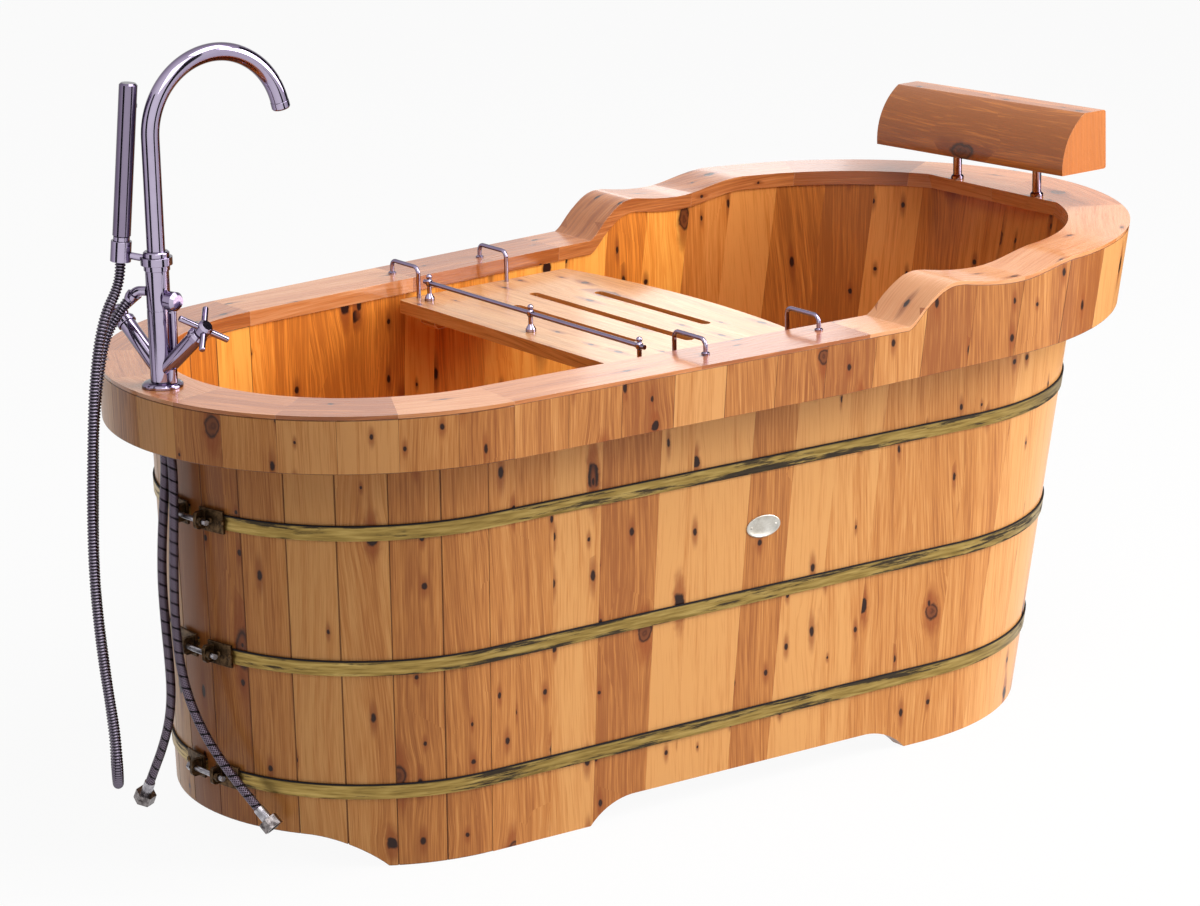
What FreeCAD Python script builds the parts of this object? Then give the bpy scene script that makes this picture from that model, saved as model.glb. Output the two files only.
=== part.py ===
import FreeCAD, Part
import math
import os
from FreeCAD import Matrix, Rotation, Vector

# A free-standing wooden bathtub built of tapered staves, with brass hoops, a stepped rim with an apron,
# a bridge tray, a headrest, a pillar mixer tap with a hand shower, and its hoses.
# X runs along the tub with the tap end at -X, Z is up, and the floor is at Z = 0.
# A plan is two circles of unequal size joined by straight sides. Every wall follows it at an offset.

# Plan of the tub, outside the staves at the datum height
foot_x = -430.0
head_x = 350.0
foot_radius = 285.0
head_radius = 336.0
datum_z = 500.0
wall_lean_share = 0.02
head_lean_share = 0.17

# Staves, with the number at each end and the widths along each side
stave_thickness = 22.0
foot_staves = 13
head_staves = 14
side_width_shares = (40, 60, 75, 93, 54, 96, 73, 72, 78, 75, 84)
croze_depth = 6.0
croze_clearance = 0.3

# Feet, left by arches cut in the lower edge of the wall
side_arch_height = 31.0
side_arch_start_x = -302.0
side_arch_end_x = 207.0
end_arch_height = 40.0
end_arch_half_width = 230.0
arch_end_length = 72.0
overrun = 60.0
arch_bend_share = 0.36
arch_rise_share = 0.66
middle_share = 0.5
match_share = 0.01

# Floor of the tub
floor_z = 62.0
floor_thickness = 24.0
floor_board_width = 92.0
board_gap = 0.4
batten_width = 60.0
batten_height = 26.0
batten_gap = 0.3
batten_places = (-430.0, -60.0, 330.0)

# Rim: its low height, how far the head end rises, and where the rise runs
rim_z = 611.0
rim_rise = 53.0
rise_start_x = 157.0
rise_end_x = 460.0
rise_x_shares = (0.0, 0.03, 0.078, 0.139, 0.20, 0.26, 0.35, 0.52, 0.66, 0.80, 1.0)
rise_z_shares = (0.0, 0.11, 0.38, 0.66, 0.86, 0.93, 0.87, 0.75, 0.76, 0.90, 1.0)
cap_thickness = 20.0
cap_lip = 5.0
cap_inside = 24.0
head_seat_inset = 24.0
head_seat_x = head_x + head_radius - head_seat_inset
head_seat_depth = 45.0
margin_share = 0.02
rim_overhang = 62.0
seat_gap = 0.3
edge_share = 0.07
foot_cap_boards = 7
head_cap_boards = 6
side_cap_shares = (0.0, 0.35, 0.685, 1.0)

# Apron below the rim, which hangs a little higher towards the head end
apron_z = 537.0
apron_rise = 16.0
apron_bend_x = 60.0
apron_thickness = 18.0
foot_aprons = 14
head_aprons = 15
side_aprons = 10

# Hoops, by the height of their upper edge, and their draw clamps at the tap end
hoop_heights = (454.0, 277.0, 112.0)
hoop_width = 20.0
hoop_thickness = 2.5
hoop_gap = 0.3
clamp_length = 110.0
clamp_middle_turn = 4.5
clamp_split = 26.0
clamp_plate_height = 30.0
clamp_plate_thickness = 3.5
clamp_ear_thickness = 6.0
clamp_ear_reach = 15.0
clamp_ear_inset = 8.0
clamp_bolt_radius = 3.5
clamp_bolt_gap = 0.2
clamp_bolt_tail = 14.0
clamp_head_width = 11.0
clamp_head_height = 6.0
clamp_rivet_radius = 4.0
clamp_rivet_height = 2.2
clamp_rivet_pitch = 20.0
rivet_crown_share = 0.55
clamp_bolt_share = 0.55

# Drain at the tap end of the floor
drain_x = -500.0
drain_flange_radius = 35.0
drain_flange_thickness = 3.0
drain_bore_radius = 17.0
drain_tube_radius = 20.0
drain_spigot_radius = 19.0
drain_spigot_length = 34.0
drain_tube_gap = 0.4
drain_tube_bottom_z = 12.0
drain_recess_radius = 28.0
drain_recess_depth = 4.0
drain_seal_thickness = 2.5
drain_nut_thickness = 7.0
drain_nut_width = 56.0
plug_radius = 26.5
plug_thickness = 5.0
plug_stem_radius = 5.0
plug_stem_length = 34.0
plug_clearance = 0.3
plug_mouth_share = 1.5
stem_tip_share = 0.7
stem_taper_share = 0.3
lid_round_share = 0.2
lid_flat_share = 0.8
cross_bar_width = 5.0
cross_bar_height = 4.0
plug_guide_radius = 8.5
plug_guide_height = 12.0
plug_guide_gap = 0.05

# Headrest block on two posts at the head end
headrest_front_inset = 72.4
headrest_front_x = head_x + head_radius - headrest_front_inset
headrest_depth = 85.0
headrest_z = 712.5
headrest_height = 84.0
headrest_length = 393.0
headrest_top_depth = 41.0
headrest_tilt = 1.6
headrest_front_rise = 45.0
headrest_front_set = 9.0
headrest_edge = 4.0
headrest_edge_share = 0.9
post_inset = 14.0
post_x = head_x + head_radius - post_inset
post_pitch = 168.0
post_radius = 6.5
post_socket_depth = 30.0
post_into_rim = 15.0
post_gap = 0.3
post_collar_radius = 9.5
post_collar_height = 6.0
collar_wall_share = 0.6
collar_taper_share = 0.3
post_ring_height = 4.0
post_ring_radius = 9.0

# Bridge tray with its hooks and rail
tray_x = -58.5
tray_length = 287.0
tray_bow = 27.0
tray_half_width = 268.0
tray_drop = 24.0
tray_thickness = 18.0
tray_edge = 5.0
slot_places = (-43.5, 18.5, 90.5)
slot_half_lengths = (135.0, 178.0, 124.0)
slot_width = 15.0
tray_batten_inset = 52.0
tray_batten_width = 34.0
tray_batten_thickness = 14.0
tray_batten_end = 12.0
hook_radius = 3.0
hook_bend = 9.0
hook_rise = 19.0
hook_tray_y = 258.0
hook_rim_y = 322.0
hook_foot_height = 3.0
hook_foot_radius = 5.5
hook_foot_share = 0.5
hook_gap = 0.3
far_hook_places = (-175.0, -25.0)
near_hook_places = (-132.0, 57.0)
rail_x = -172.0
rail_half_length = 236.0
rail_radius = 3.2
rail_height = 25.0
rail_post_radius = 7.0
rail_post_waist = 3.2
rail_ball_radius = 5.5
post_foot_share = 0.15
post_waist_share = 0.4
bead_share = 0.5
top_ball_share = 0.75
top_rise_share = 0.6
rail_fit = 0.15

# Pillar mixer on the rim at the tap end
tap_overhang = 25.0
tap_x = foot_x - foot_radius - tap_overhang
tap_turn = 13.0
flange_radius = 26.0
flange_height = 7.0
flange_wall_share = 0.45
flange_round_share = 0.4
flange_step_share = 0.8
flange_foot_share = 0.5
pillar_radius = 15.0
pillar_height = 148.0
pillar_groove_z = 98.0
groove_depth = 0.8
groove_width = 1.6
pillar_bore = 9.0
arm_radius = 10.5
arm_start_z = 17.0
arm_angle = 41.5
arm_forward = 3.0
arm_length = 80.7
bonnet_radius = 12.5
bonnet_length = 10.0
bonnet_wall_share = 0.6
bonnet_taper_share = 0.3
stem_radius = 4.0
stem_gap = 0.06
handle_gap = 0.5
handle_hub_radius = 10.0
handle_hub_length = 17.0
hub_neck_share = 0.8
hub_round_share = 0.2
hub_cap_share = 0.7
rod_tip_share = 0.45
handle_rod_radius = 4.0
handle_reach = 35.0
near_handle_turn = 64.0
far_handle_turn = 42.0
deck_hole_radius = 17.0
tail_radius = 5.5
tail_spread = 8.5
tail_length = 26.4
stud_radius = 4.0
stud_offset = 11.0
stud_length = 58.0
horseshoe_radius = 20.0
horseshoe_thickness = 4.0
deck_nut_width = 13.0
deck_nut_height = 7.0
leg_radius = 6.0
leg_offset = 18.5
link_radius = 4.0
link_forward = 8.0
link_side = -17.0
link_high = 96.0
link_low = 34.0

# Ring, spout and outlet
collar_height = 24.0
collar_radius = 16.5
spout_radius = 11.5
spout_bore = 9.0
spout_neck_radius = 9.5
spout_neck_length = 18.0
spout_neck_gap = 0.05
spout_arc_z = 313.0
spout_arc_radius = 95.5
spout_sweep = 166.0
aerator_radius = 11.9
aerator_length = 10.0
aerator_wall_share = 0.8
aerator_bore_share = 0.7
aerator_mouth_share = 0.9
aerator_gap = 0.3

# Diverter knob, hose outlet and hand shower
diverter_z = 112.0
knob_radius = 12.0
knob_neck_share = 0.75
knob_round_share = 0.35
knob_start = 16.5
knob_end = 35.0
knob_stem_radius = 4.5
knob_stem_depth = 12.0
outlet_z = 121.0
outlet_turn = 28.0
outlet_radius = 6.0
outlet_straight = 22.8
outlet_bend = 12.0
outlet_sweep = 50.0
outlet_nut_length = 10.0
nut_wall_share = 0.5
wand_round_share = 0.2
spray_place_share = 2.4
cup_side = 37.3
cup_back = 25.5
cup_z = 159.2
cup_height = 26.0
cup_radius = 13.0
cup_room = 0.6
bracket_ring_wall = 3.5
bracket_ring_height = 10.0
bracket_arm_radius = 4.5
bracket_arm_share = 0.35
bracket_gap = 0.06
wand_tilt = 5.4
wand_tilt_side = -45.0
wand_radius = 11.5
wand_length = 191.0
wand_lift = 6.0
wand_stub_radius = 7.0
wand_stub_depth = 8.0
wand_face_radius = 6.8
wand_face_depth = 3.0
nut_radius = 8.5
cone_low_radius = 8.2
cone_high_radius = 9.9
cone_ring_radius = 10.4
cone_ring_height = 5.0

# Hoses, with the routes of their middle lines
shower_hose_radius = 7.0
supply_hose_radius = 6.0
ferrule_radius = 7.2
ferrule_length = 18.0
upper_ferrule_share = 0.5
ferrule_lip_share = 0.1
nut_base_share = 0.3
supply_nut_width = 24.0
supply_nut_length = 14.0
supply_nut_bore = 9.3
arc_share = 0.45

# The routes were laid with the tap at this place, and move along with it
route_tap_x = -740.0

shower_route = [
    (-773.26, 30.62, 769.9),
    (-773.98, 31.07, 760.94),
    (-776.44, 30.35, 749.2),
    (-781.5, 28.2, 738.2),
    (-789.1, 24.8, 728.3),
    (-800.3, 19.6, 717.3),
    (-813.0, 12.1, 700.4),
    (-823.3, 7.2, 677.2),
    (-831.8, 3.2, 646.6),
    (-839.7, -0.4, 605.5),
    (-846.6, -3.7, 548.0),
    (-853.4, -6.8, 480.0),
    (-857.0, -8.7, 408.0),
    (-855.0, -7.6, 343.0),
    (-848.4, -4.5, 272.0),
    (-840.2, -0.7, 217.0),
    (-833.5, 2.5, 173.0),
    (-831.7, 3.5, 126.0),
    (-821.5, 22.8, 96.0),
    (-805.0, 54.0, 84.5),
    (-788.5, 85.2, 96.0),
    (-778.3, 104.5, 126.0),
    (-781.0, 106.0, 175.0),
    (-786.5, 104.0, 228.0),
    (-794.0, 99.0, 285.0),
    (-801.0, 91.0, 345.0),
    (-804.5, 82.0, 405.0),
    (-806.0, 73.0, 462.0),
    (-808.5, 64.0, 506.0),
    (-810.0, 57.0, 548.0),
    (-806.8, 52.5, 590.0),
    (-802.0, 49.5, 625.0),
    (-797.0, 47.5, 652.0),
    (-791.5, 45.5, 672.0),
    (-785.5, 43.0, 686.5),
    (-778.0, 39.6, 697.6),
    (-770.7, 35.3, 710.1),
    (-765.46, 29.29, 719.59),
]

near_hose_route = [
    (-740.0, -8.5, 575.0),
    (-740.0, -8.5, 540.0),
    (-739.0, -13.0, 505.0),
    (-741.0, -13.0, 450.0),
    (-744.0, -12.0, 395.0),
    (-747.0, -13.0, 340.0),
    (-748.0, -15.0, 290.0),
    (-746.0, -19.0, 245.0),
    (-742.0, -31.0, 202.0),
    (-736.0, -52.0, 164.0),
    (-727.0, -78.0, 131.0),
    (-715.0, -106.0, 99.0),
    (-706.0, -125.0, 78.0),
]

far_hose_route = [
    (-740.0, 8.5, 575.0),
    (-740.0, 8.5, 545.0),
    (-738.0, 6.0, 512.0),
    (-740.0, 12.0, 460.0),
    (-743.0, 17.0, 406.0),
    (-746.0, 17.0, 354.0),
    (-748.0, 11.0, 302.0),
    (-749.0, 4.0, 250.0),
    (-750.0, 1.0, 205.0),
    (-752.0, 8.0, 165.0),
    (-755.0, 24.0, 126.0),
    (-758.0, 40.0, 96.0),
    (-760.0, 50.0, 76.0),
]

x_axis = Vector(1, 0, 0)
y_axis = Vector(0, 1, 0)
z_axis = Vector(0, 0, 1)


def save(name, *solids):
    """Write one node, as one solid or as a group of separate solids."""
    shape = solids[0] if len(solids) == 1 else Part.makeCompound(list(solids))
    for solid in shape.Solids:
        if solid.Volume <= 0 or not solid.isValid():
            print("check", name, round(solid.Volume, 1), solid.isValid())
    shape.exportStep(os.path.join("parts", name + ".step"))


def whole(shape):
    """The single solid in a shape, merged where its faces are one surface."""
    solids = sorted(shape.Solids, key=lambda solid: solid.Volume)
    return solids[-1]


def joined(first, *others):
    return whole(first.fuse(list(others)).removeSplitter())


# Plan

def plan_circle(end, z, offset):
    """Centre and radius of the rounded tap end or head end at a height."""
    climb = z - datum_z
    if end == "foot":
        return foot_x, foot_radius + wall_lean_share * climb + offset
    return head_x + head_lean_share * climb, head_radius + wall_lean_share * climb + offset


def plan_quarter(z):
    """Angle from the X axis to where the round head end meets a side."""
    left, small = plan_circle("foot", z, 0)
    right, large = plan_circle("head", z, 0)
    return math.pi / 2 + math.asin((large - small) / (right - left))


def plan_point(section, share, z, offset):
    """A point on the plan at a share of the way along one of its four sections."""
    quarter = plan_quarter(z)
    if section in ("head", "foot"):
        start, sweep = (-quarter, 2 * quarter) if section == "head" else (quarter, 2 * math.pi - 2 * quarter)
        centre, radius = plan_circle(section, z, offset)
        angle = start + share * sweep
        return Vector(centre + radius * math.cos(angle), radius * math.sin(angle), z)
    if section == "near":
        first, last = plan_point("foot", 1, z, offset), plan_point("head", 0, z, offset)
    else:
        first, last = plan_point("head", 1, z, offset), plan_point("foot", 0, z, offset)
    return first + (last - first) * share


def plan_edge(section, start, end, z, offset):
    ends = [plan_point(section, share, z, offset) for share in (start, end)]
    if section in ("head", "foot"):
        return Part.Arc(ends[0], plan_point(section, (start + end) / 2, z, offset), ends[1]).toShape()
    return Part.LineSegment(*ends).toShape()


def plan_wire(section, start, end, z, inner, outer):
    """Closed outline between two offsets from the plan and two shares along a section."""
    front = plan_edge(section, start, end, z, outer)
    back = plan_edge(section, start, end, z, inner)
    sides = []
    for share in (start, end):
        pair = plan_point(section, share, z, inner), plan_point(section, share, z, outer)
        sides.append(Part.LineSegment(*pair).toShape())
    return Part.Wire(Part.__sortEdges__([front, sides[1], back, sides[0]]))


def plan_block(section, start, end, low, high, inner, outer):
    wires = [plan_wire(section, start, end, z, inner, outer) for z in (low, high)]
    return upright(Part.makeLoft(wires, True, True))


def upright(shape):
    """The same solid, turned the right way out if it came inside out."""
    solid = whole(shape)
    if solid.Volume < 0:
        solid.reverse()
    return solid


def plan_loop(z, offset):
    edges = [plan_edge(section, 0, 1, z, offset) for section in ("near", "head", "far", "foot")]
    return Part.Wire(Part.__sortEdges__(edges))


def plan_slab(low, high, offset):
    return upright(Part.makeLoft([plan_loop(low, offset), plan_loop(high, offset)], True, True))


def section_shares(section):
    """Where the stave joints come along each section."""
    if section == "foot":
        return [i / foot_staves for i in range(foot_staves + 1)]
    if section == "head":
        return [i / head_staves for i in range(head_staves + 1)]
    widths = side_width_shares if section == "near" else side_width_shares[::-1]
    shares = [0.0]
    for width in widths:
        shares.append(shares[-1] + width / sum(widths))
    return shares


# Rim heights

def under_rim(drop):
    """All that lies lower than the rim's top less a drop, as one solid to cut with."""
    left, right = foot_x - 2 * foot_radius, head_x + 2 * head_radius
    depth = -2 * overrun
    points = []
    for x_share, z_share in zip(rise_x_shares, rise_z_shares):
        x = rise_start_x + x_share * (rise_end_x - rise_start_x)
        points.append(Vector(x, -2 * head_radius, rim_z + z_share * rim_rise - drop))
    curve = Part.BSplineCurve()
    curve.interpolate(Points=points, FinalTangent=x_axis * (rise_end_x - rise_start_x))
    corners = [points[-1]]
    for x, z in ((right, points[-1].z), (right, depth), (left, depth), (left, points[0].z)):
        corners.append(Vector(x, points[0].y, z))
    corners.append(points[0])
    outline = Part.Wire([curve.toShape()] + Part.makePolygon(corners).Edges)
    return Part.Face(outline).extrude(y_axis * 4 * head_radius)


def below_rim(section, start, end, low, drop, inner, outer):
    """A block from a low height up to the rim less a drop, following the rise where it meets it."""
    top = rim_z + rim_rise
    corners = [plan_point(section, share, z, offset).x
               for share in (start, end) for z in (low, top) for offset in (inner, outer)]
    if max(corners) <= rise_start_x:
        return plan_block(section, start, end, low, rim_z - drop, inner, outer)
    if min(corners) >= rise_end_x:
        return plan_block(section, start, end, low, top - drop, inner, outer)
    if drop not in cutters:
        cutters[drop] = under_rim(drop)
    block = plan_block(section, start, end, low, top + overrun, inner, outer)
    return whole(block.common(cutters[drop]))


cutters = {}


# Staves

def arch_profile(start, end, height):
    """Points of an arch's outline in its own plane: along it, then up."""
    run = arch_end_length
    bend, rise = arch_bend_share * run, arch_rise_share * height
    return ((start, -overrun), (start, 0), (start + bend, rise), (start + run, height),
            (end - run, height), (end - bend, rise), (end, 0), (end, -overrun))


def arch_cutter(start, end, height, along, across, reach_low, reach_high):
    """A tunnel under the wall that leaves a foot on each side of it."""
    flat = [along * a + z_axis * b + across * reach_low for a, b in arch_profile(start, end, height)]
    edges = [
        Part.LineSegment(flat[0], flat[1]).toShape(),
        Part.Arc(flat[1], flat[2], flat[3]).toShape(),
        Part.LineSegment(flat[3], flat[4]).toShape(),
        Part.Arc(flat[4], flat[5], flat[6]).toShape(),
        Part.LineSegment(flat[6], flat[7]).toShape(),
        Part.LineSegment(flat[7], flat[0]).toShape(),
    ]
    return Part.Face(Part.Wire(edges)).extrude(across * (reach_high - reach_low))


def make_staves():
    wide = head_radius + overrun
    side_arch = arch_cutter(side_arch_start_x, side_arch_end_x, side_arch_height, x_axis, y_axis, -wide, wide)
    half = end_arch_half_width
    foot_arch = arch_cutter(-half, half, end_arch_height, y_axis, x_axis, foot_x - wide, foot_x)
    head_arch = arch_cutter(-half, half, end_arch_height, y_axis, x_axis, head_x, head_x + wide)
    inside = -stave_thickness
    groove = plan_slab(floor_z - croze_clearance, floor_z + floor_thickness + croze_clearance,
                       inside + croze_depth + croze_clearance)
    arches = {"near": side_arch, "far": side_arch, "foot": foot_arch, "head": head_arch}
    for section, name in (("near", "near_side_staves"), ("head", "head_end_staves"),
                          ("far", "far_side_staves"), ("foot", "tap_end_staves")):
        shares = section_shares(section)
        staves = []
        for start, end in zip(shares, shares[1:]):
            stave = below_rim(section, start, end, 0, cap_thickness + seat_gap, inside, 0)
            stave = whole(stave.cut([arches[section], groove]))
            staves.append(stave)
        save(name, *staves)


def make_floor():
    """Lengthways boards let into the groove of the staves, on three cross battens."""
    panel = plan_slab(floor_z, floor_z + floor_thickness, croze_depth - stave_thickness)
    box = panel.BoundBox
    count = int(math.ceil(box.YLength / floor_board_width))
    width = box.YLength / count
    hole = Part.makeCylinder(drain_tube_radius + drain_tube_gap, floor_thickness + 2 * overrun,
                             Vector(drain_x, 0, floor_z - overrun))
    recess_z = floor_z + floor_thickness - drain_recess_depth
    recess = Part.makeCylinder(drain_flange_radius + drain_tube_gap, overrun, Vector(drain_x, 0, recess_z))
    boards = []
    for i in range(count):
        strip = Part.makeBox(box.XLength + 2 * overrun, width - board_gap, floor_thickness + 2 * overrun,
                             Vector(box.XMin - overrun, box.YMin + i * width + board_gap / 2, floor_z - overrun))
        boards.append(whole(panel.common(strip).cut([hole, recess])))
    save("floor_boards", *boards)

    inner = plan_slab(floor_z - 2 * batten_height, floor_z, -stave_thickness - batten_gap)
    battens = []
    for place in batten_places:
        low = floor_z - batten_gap - batten_height
        bar = Part.makeBox(batten_width, 2 * head_radius, batten_height,
                           Vector(place - batten_width / 2, -head_radius, low))
        battens.append(whole(bar.common(inner)))
    save("floor_battens", *battens)


# Rim and apron

def make_cap():
    """Rim boards with a lip that covers the top of the apron, bored for the tap and the headrest."""
    fillers = {"near": side_cap_shares, "far": tuple(1 - share for share in side_cap_shares[::-1]),
               "head": [i / head_cap_boards for i in range(head_cap_boards + 1)],
               "foot": [i / foot_cap_boards for i in range(foot_cap_boards + 1)]}
    tap_hole = Part.makeCylinder(deck_hole_radius, 4 * cap_thickness, Vector(tap_x, 0, rim_z - 2 * cap_thickness))
    sockets = []
    top = rim_z + rim_rise
    for side in (-1, 1):
        base = Vector(post_x, side * post_pitch / 2, top - post_into_rim - post_gap)
        sockets.append(Part.makeCylinder(post_radius + post_gap, post_into_rim + overrun, base))
    low = rim_z - 2 * cap_thickness
    inside = plan_slab(low - overrun, rim_z + rim_rise + 2 * overrun, -cap_inside)
    seat = inside.cut(Part.makeBox(2 * head_radius, 4 * head_radius, 2 * head_radius,
                                   Vector(head_seat_x, -2 * head_radius, low - 2 * overrun)))
    boards = []
    for section, shares in fillers.items():
        inner = -cap_inside - head_seat_depth if section == "head" else -cap_inside
        for start, end in zip(shares, shares[1:]):
            outer = below_rim(section, start, end, low, 0, inner, rim_overhang)
            wide_start, wide_end = start - margin_share, end + margin_share
            lip = outer.cut(below_rim(section, wide_start, wide_end, low - overrun, cap_lip,
                                      apron_seat(), rim_overhang + overrun))
            under = below_rim(section, wide_start, wide_end, low - overrun, cap_thickness,
                              inner - overrun, apron_seat() + overrun)
            board = whole(lip.cut(under))
            if section == "head":
                board = whole(board.cut(seat))
            for tool in [tap_hole] + sockets:
                if board.BoundBox.intersect(tool.BoundBox):
                    board = whole(board.cut(tool))
            boards.append(board)
    save("rim_boards", *boards)


def apron_seat():
    """Offset of the rim's inner step, which stands just inside the apron."""
    return rim_overhang - apron_thickness - seat_gap


def make_apron():
    """Upright boards round the rim, cut along a lower edge that climbs towards the head end."""
    low = apron_z - overrun
    wide = 2 * head_radius
    right = head_x + 2 * head_radius
    end_x = head_x + head_radius
    slope = [(-right, apron_z), (apron_bend_x, apron_z), (end_x, apron_z + apron_rise),
             (right, apron_z + apron_rise), (right, low - overrun), (-right, low - overrun), (-right, apron_z)]
    floor = Part.Face(Part.makePolygon([Vector(x, -wide, z) for x, z in slope])).extrude(y_axis * 2 * wide)
    counts = {"near": side_aprons, "head": head_aprons, "far": side_aprons, "foot": foot_aprons}
    for section, name in (("near", "near_side_apron"), ("head", "head_end_apron"),
                          ("far", "far_side_apron"), ("foot", "tap_end_apron")):
        boards = []
        count = counts[section]
        for i in range(count):
            board = below_rim(section, i / count, (i + 1) / count, low, cap_lip + seat_gap,
                              rim_overhang - apron_thickness, rim_overhang)
            boards.append(whole(board.cut(floor)))
        save(name, *boards)


# Hoops and clamps

def foot_share(turn):
    """Share along the tap end's arc for an angle past the middle of that end, in degrees."""
    sweep = 2 * math.pi - 2 * plan_quarter(datum_z)
    return middle_share + math.radians(turn) / sweep


def clamp_share(distance):
    """Share along the tap end's arc at a distance along the hoop from the clamps' middle."""
    return foot_share(clamp_middle_turn + math.degrees(distance / foot_radius))


def radial_frame(distance, offset, z):
    """Place on the hoop: a point, the outward direction and the direction along the hoop."""
    share = clamp_share(distance)
    point = plan_point("foot", share, z, offset)
    centre, radius = plan_circle("foot", z, offset)
    outward = (point - Vector(centre, 0, z)).normalize()
    along = z_axis.cross(outward)
    return point, outward, along


def set_on(shape, point, outward, along):
    """Move a shape built with X outward, Y along the hoop and Z up to its place."""
    matrix = Matrix(outward.x, along.x, 0, point.x, outward.y, along.y, 0, point.y, 0, 0, 1, point.z, 0, 0, 0, 1)
    return shape.transformGeometry(matrix)


def make_hoops():
    inner, outer = hoop_gap, hoop_gap + hoop_thickness
    for top, name in zip(hoop_heights, ("upper_hoop", "middle_hoop", "lower_hoop")):
        low = top - hoop_width
        band = plan_slab(low, top, outer).cut(plan_slab(low - overrun, top + overrun, inner))
        split = plan_block("foot", clamp_share(-clamp_split / 2), clamp_share(clamp_split / 2),
                           low - overrun, top + overrun, -overrun, overrun)
        save(name, whole(band.cut(split)))


def hex_bar(width, length):
    """Six-sided bar along Z from the origin."""
    corner = width / math.sqrt(3)
    corners = [Vector(corner * math.cos(math.radians(60 * i)), corner * math.sin(math.radians(60 * i)), 0)
               for i in range(7)]
    return Part.Face(Part.makePolygon(corners)).extrude(z_axis * length)


def make_clamps():
    """Two plates on each hoop, with ears drawn together by a bolt and held by rivets."""
    plates, bolts, nuts, rivets = [], [], [], []
    inner = hoop_gap + hoop_thickness + hoop_gap
    outer = inner + clamp_plate_thickness
    half = clamp_length / 2
    for top in hoop_heights:
        middle = top - hoop_width / 2
        low, high = middle - clamp_plate_height / 2, middle + clamp_plate_height / 2
        ear_places = []
        for side in (-1, 1):
            start, end = sorted((side * clamp_split / 2, side * half))
            plate = plan_block("foot", clamp_share(start), clamp_share(end), low, high, inner, outer)
            place = side * (clamp_split / 2 + clamp_ear_inset)
            ear_places.append(place)
            point, outward, along = radial_frame(place, inner + clamp_plate_thickness / 2, middle)
            reach = clamp_ear_reach + clamp_plate_thickness / 2
            ear = Part.makeBox(reach, clamp_ear_thickness, clamp_plate_height - 2 * clamp_plate_thickness,
                               Vector(0, -clamp_ear_thickness / 2, -clamp_plate_height / 2 + clamp_plate_thickness))
            outer_edges = [edge for edge in ear.Edges
                           if abs(edge.CenterOfMass.x - reach) < match_share * reach and edge.Length == clamp_ear_thickness]
            ear = ear.makeFillet(clamp_ear_thickness, outer_edges)
            plates.append(joined(plate, set_on(ear, point, outward, along)))
            for step in (0, 1):
                distance = side * (clamp_split / 2 + 2 * clamp_ear_inset + clamp_rivet_radius + step * clamp_rivet_pitch)
                point, outward, along = radial_frame(distance, outer + seat_gap, middle)
                rivet = Part.makeCone(clamp_rivet_radius, clamp_rivet_radius * rivet_crown_share, clamp_rivet_height,
                                      Vector(0, 0, 0), x_axis)
                rivets.append(set_on(rivet, point, outward, along))
        point, outward, along = radial_frame(0, outer + clamp_ear_reach * clamp_bolt_share, middle)
        chord = ear_places[1] + clamp_ear_thickness / 2 + clamp_rivet_height
        hole = Part.makeCylinder(clamp_bolt_radius + clamp_bolt_gap, 2 * half, Vector(0, -half, 0), y_axis)
        hole = set_on(hole, point, outward, along)
        for i in (-2, -1):
            plates[i] = whole(plates[i].cut(hole))
        shank = Part.makeCylinder(clamp_bolt_radius, 2 * chord + clamp_bolt_tail, Vector(0, -chord, 0), y_axis)
        head = hex_bar(clamp_head_width, clamp_head_height)
        head.rotate(Vector(0, 0, 0), x_axis, 90)
        head.translate(Vector(0, -chord, 0))
        bolts.append(set_on(joined(shank, head), point, outward, along))
        nut = hex_bar(clamp_head_width, clamp_head_height)
        nut.rotate(Vector(0, 0, 0), x_axis, -90)
        nut.translate(Vector(0, chord, 0))
        bore = Part.makeCylinder(clamp_bolt_radius + clamp_bolt_gap, 2 * half, Vector(0, -half, 0), y_axis)
        nuts.append(set_on(nut.cut(bore), point, outward, along))
    save("clamp_plates", *plates)
    save("clamp_bolts", *bolts)
    save("clamp_nuts", *nuts)
    save("clamp_rivets", *rivets)


# Turned pieces

def turned(profile, place=None, axis=None):
    """Solid turned about Z from a list of radius and height pairs, then moved to a place and axis."""
    points = [Vector(radius, 0, z) for radius, z in profile]
    face = Part.Face(Part.makePolygon(points + [points[0]]))
    solid = whole(face.revolve(Vector(0, 0, 0), z_axis, 360))
    if solid.Volume < 0:
        solid.reverse()
    return aimed(solid, place or Vector(0, 0, 0), axis or z_axis)


def aimed(shape, place, axis):
    """Turn a shape built along Z to an axis and move its origin to a place."""
    turn = Rotation(z_axis, axis)
    shape = shape.copy()
    shape.Placement = FreeCAD.Placement(place, turn).multiply(shape.Placement)
    return shape


def rod(start, end, radius):
    line = end - start
    return Part.makeCylinder(radius, line.Length, start, line)


# Drain

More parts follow.
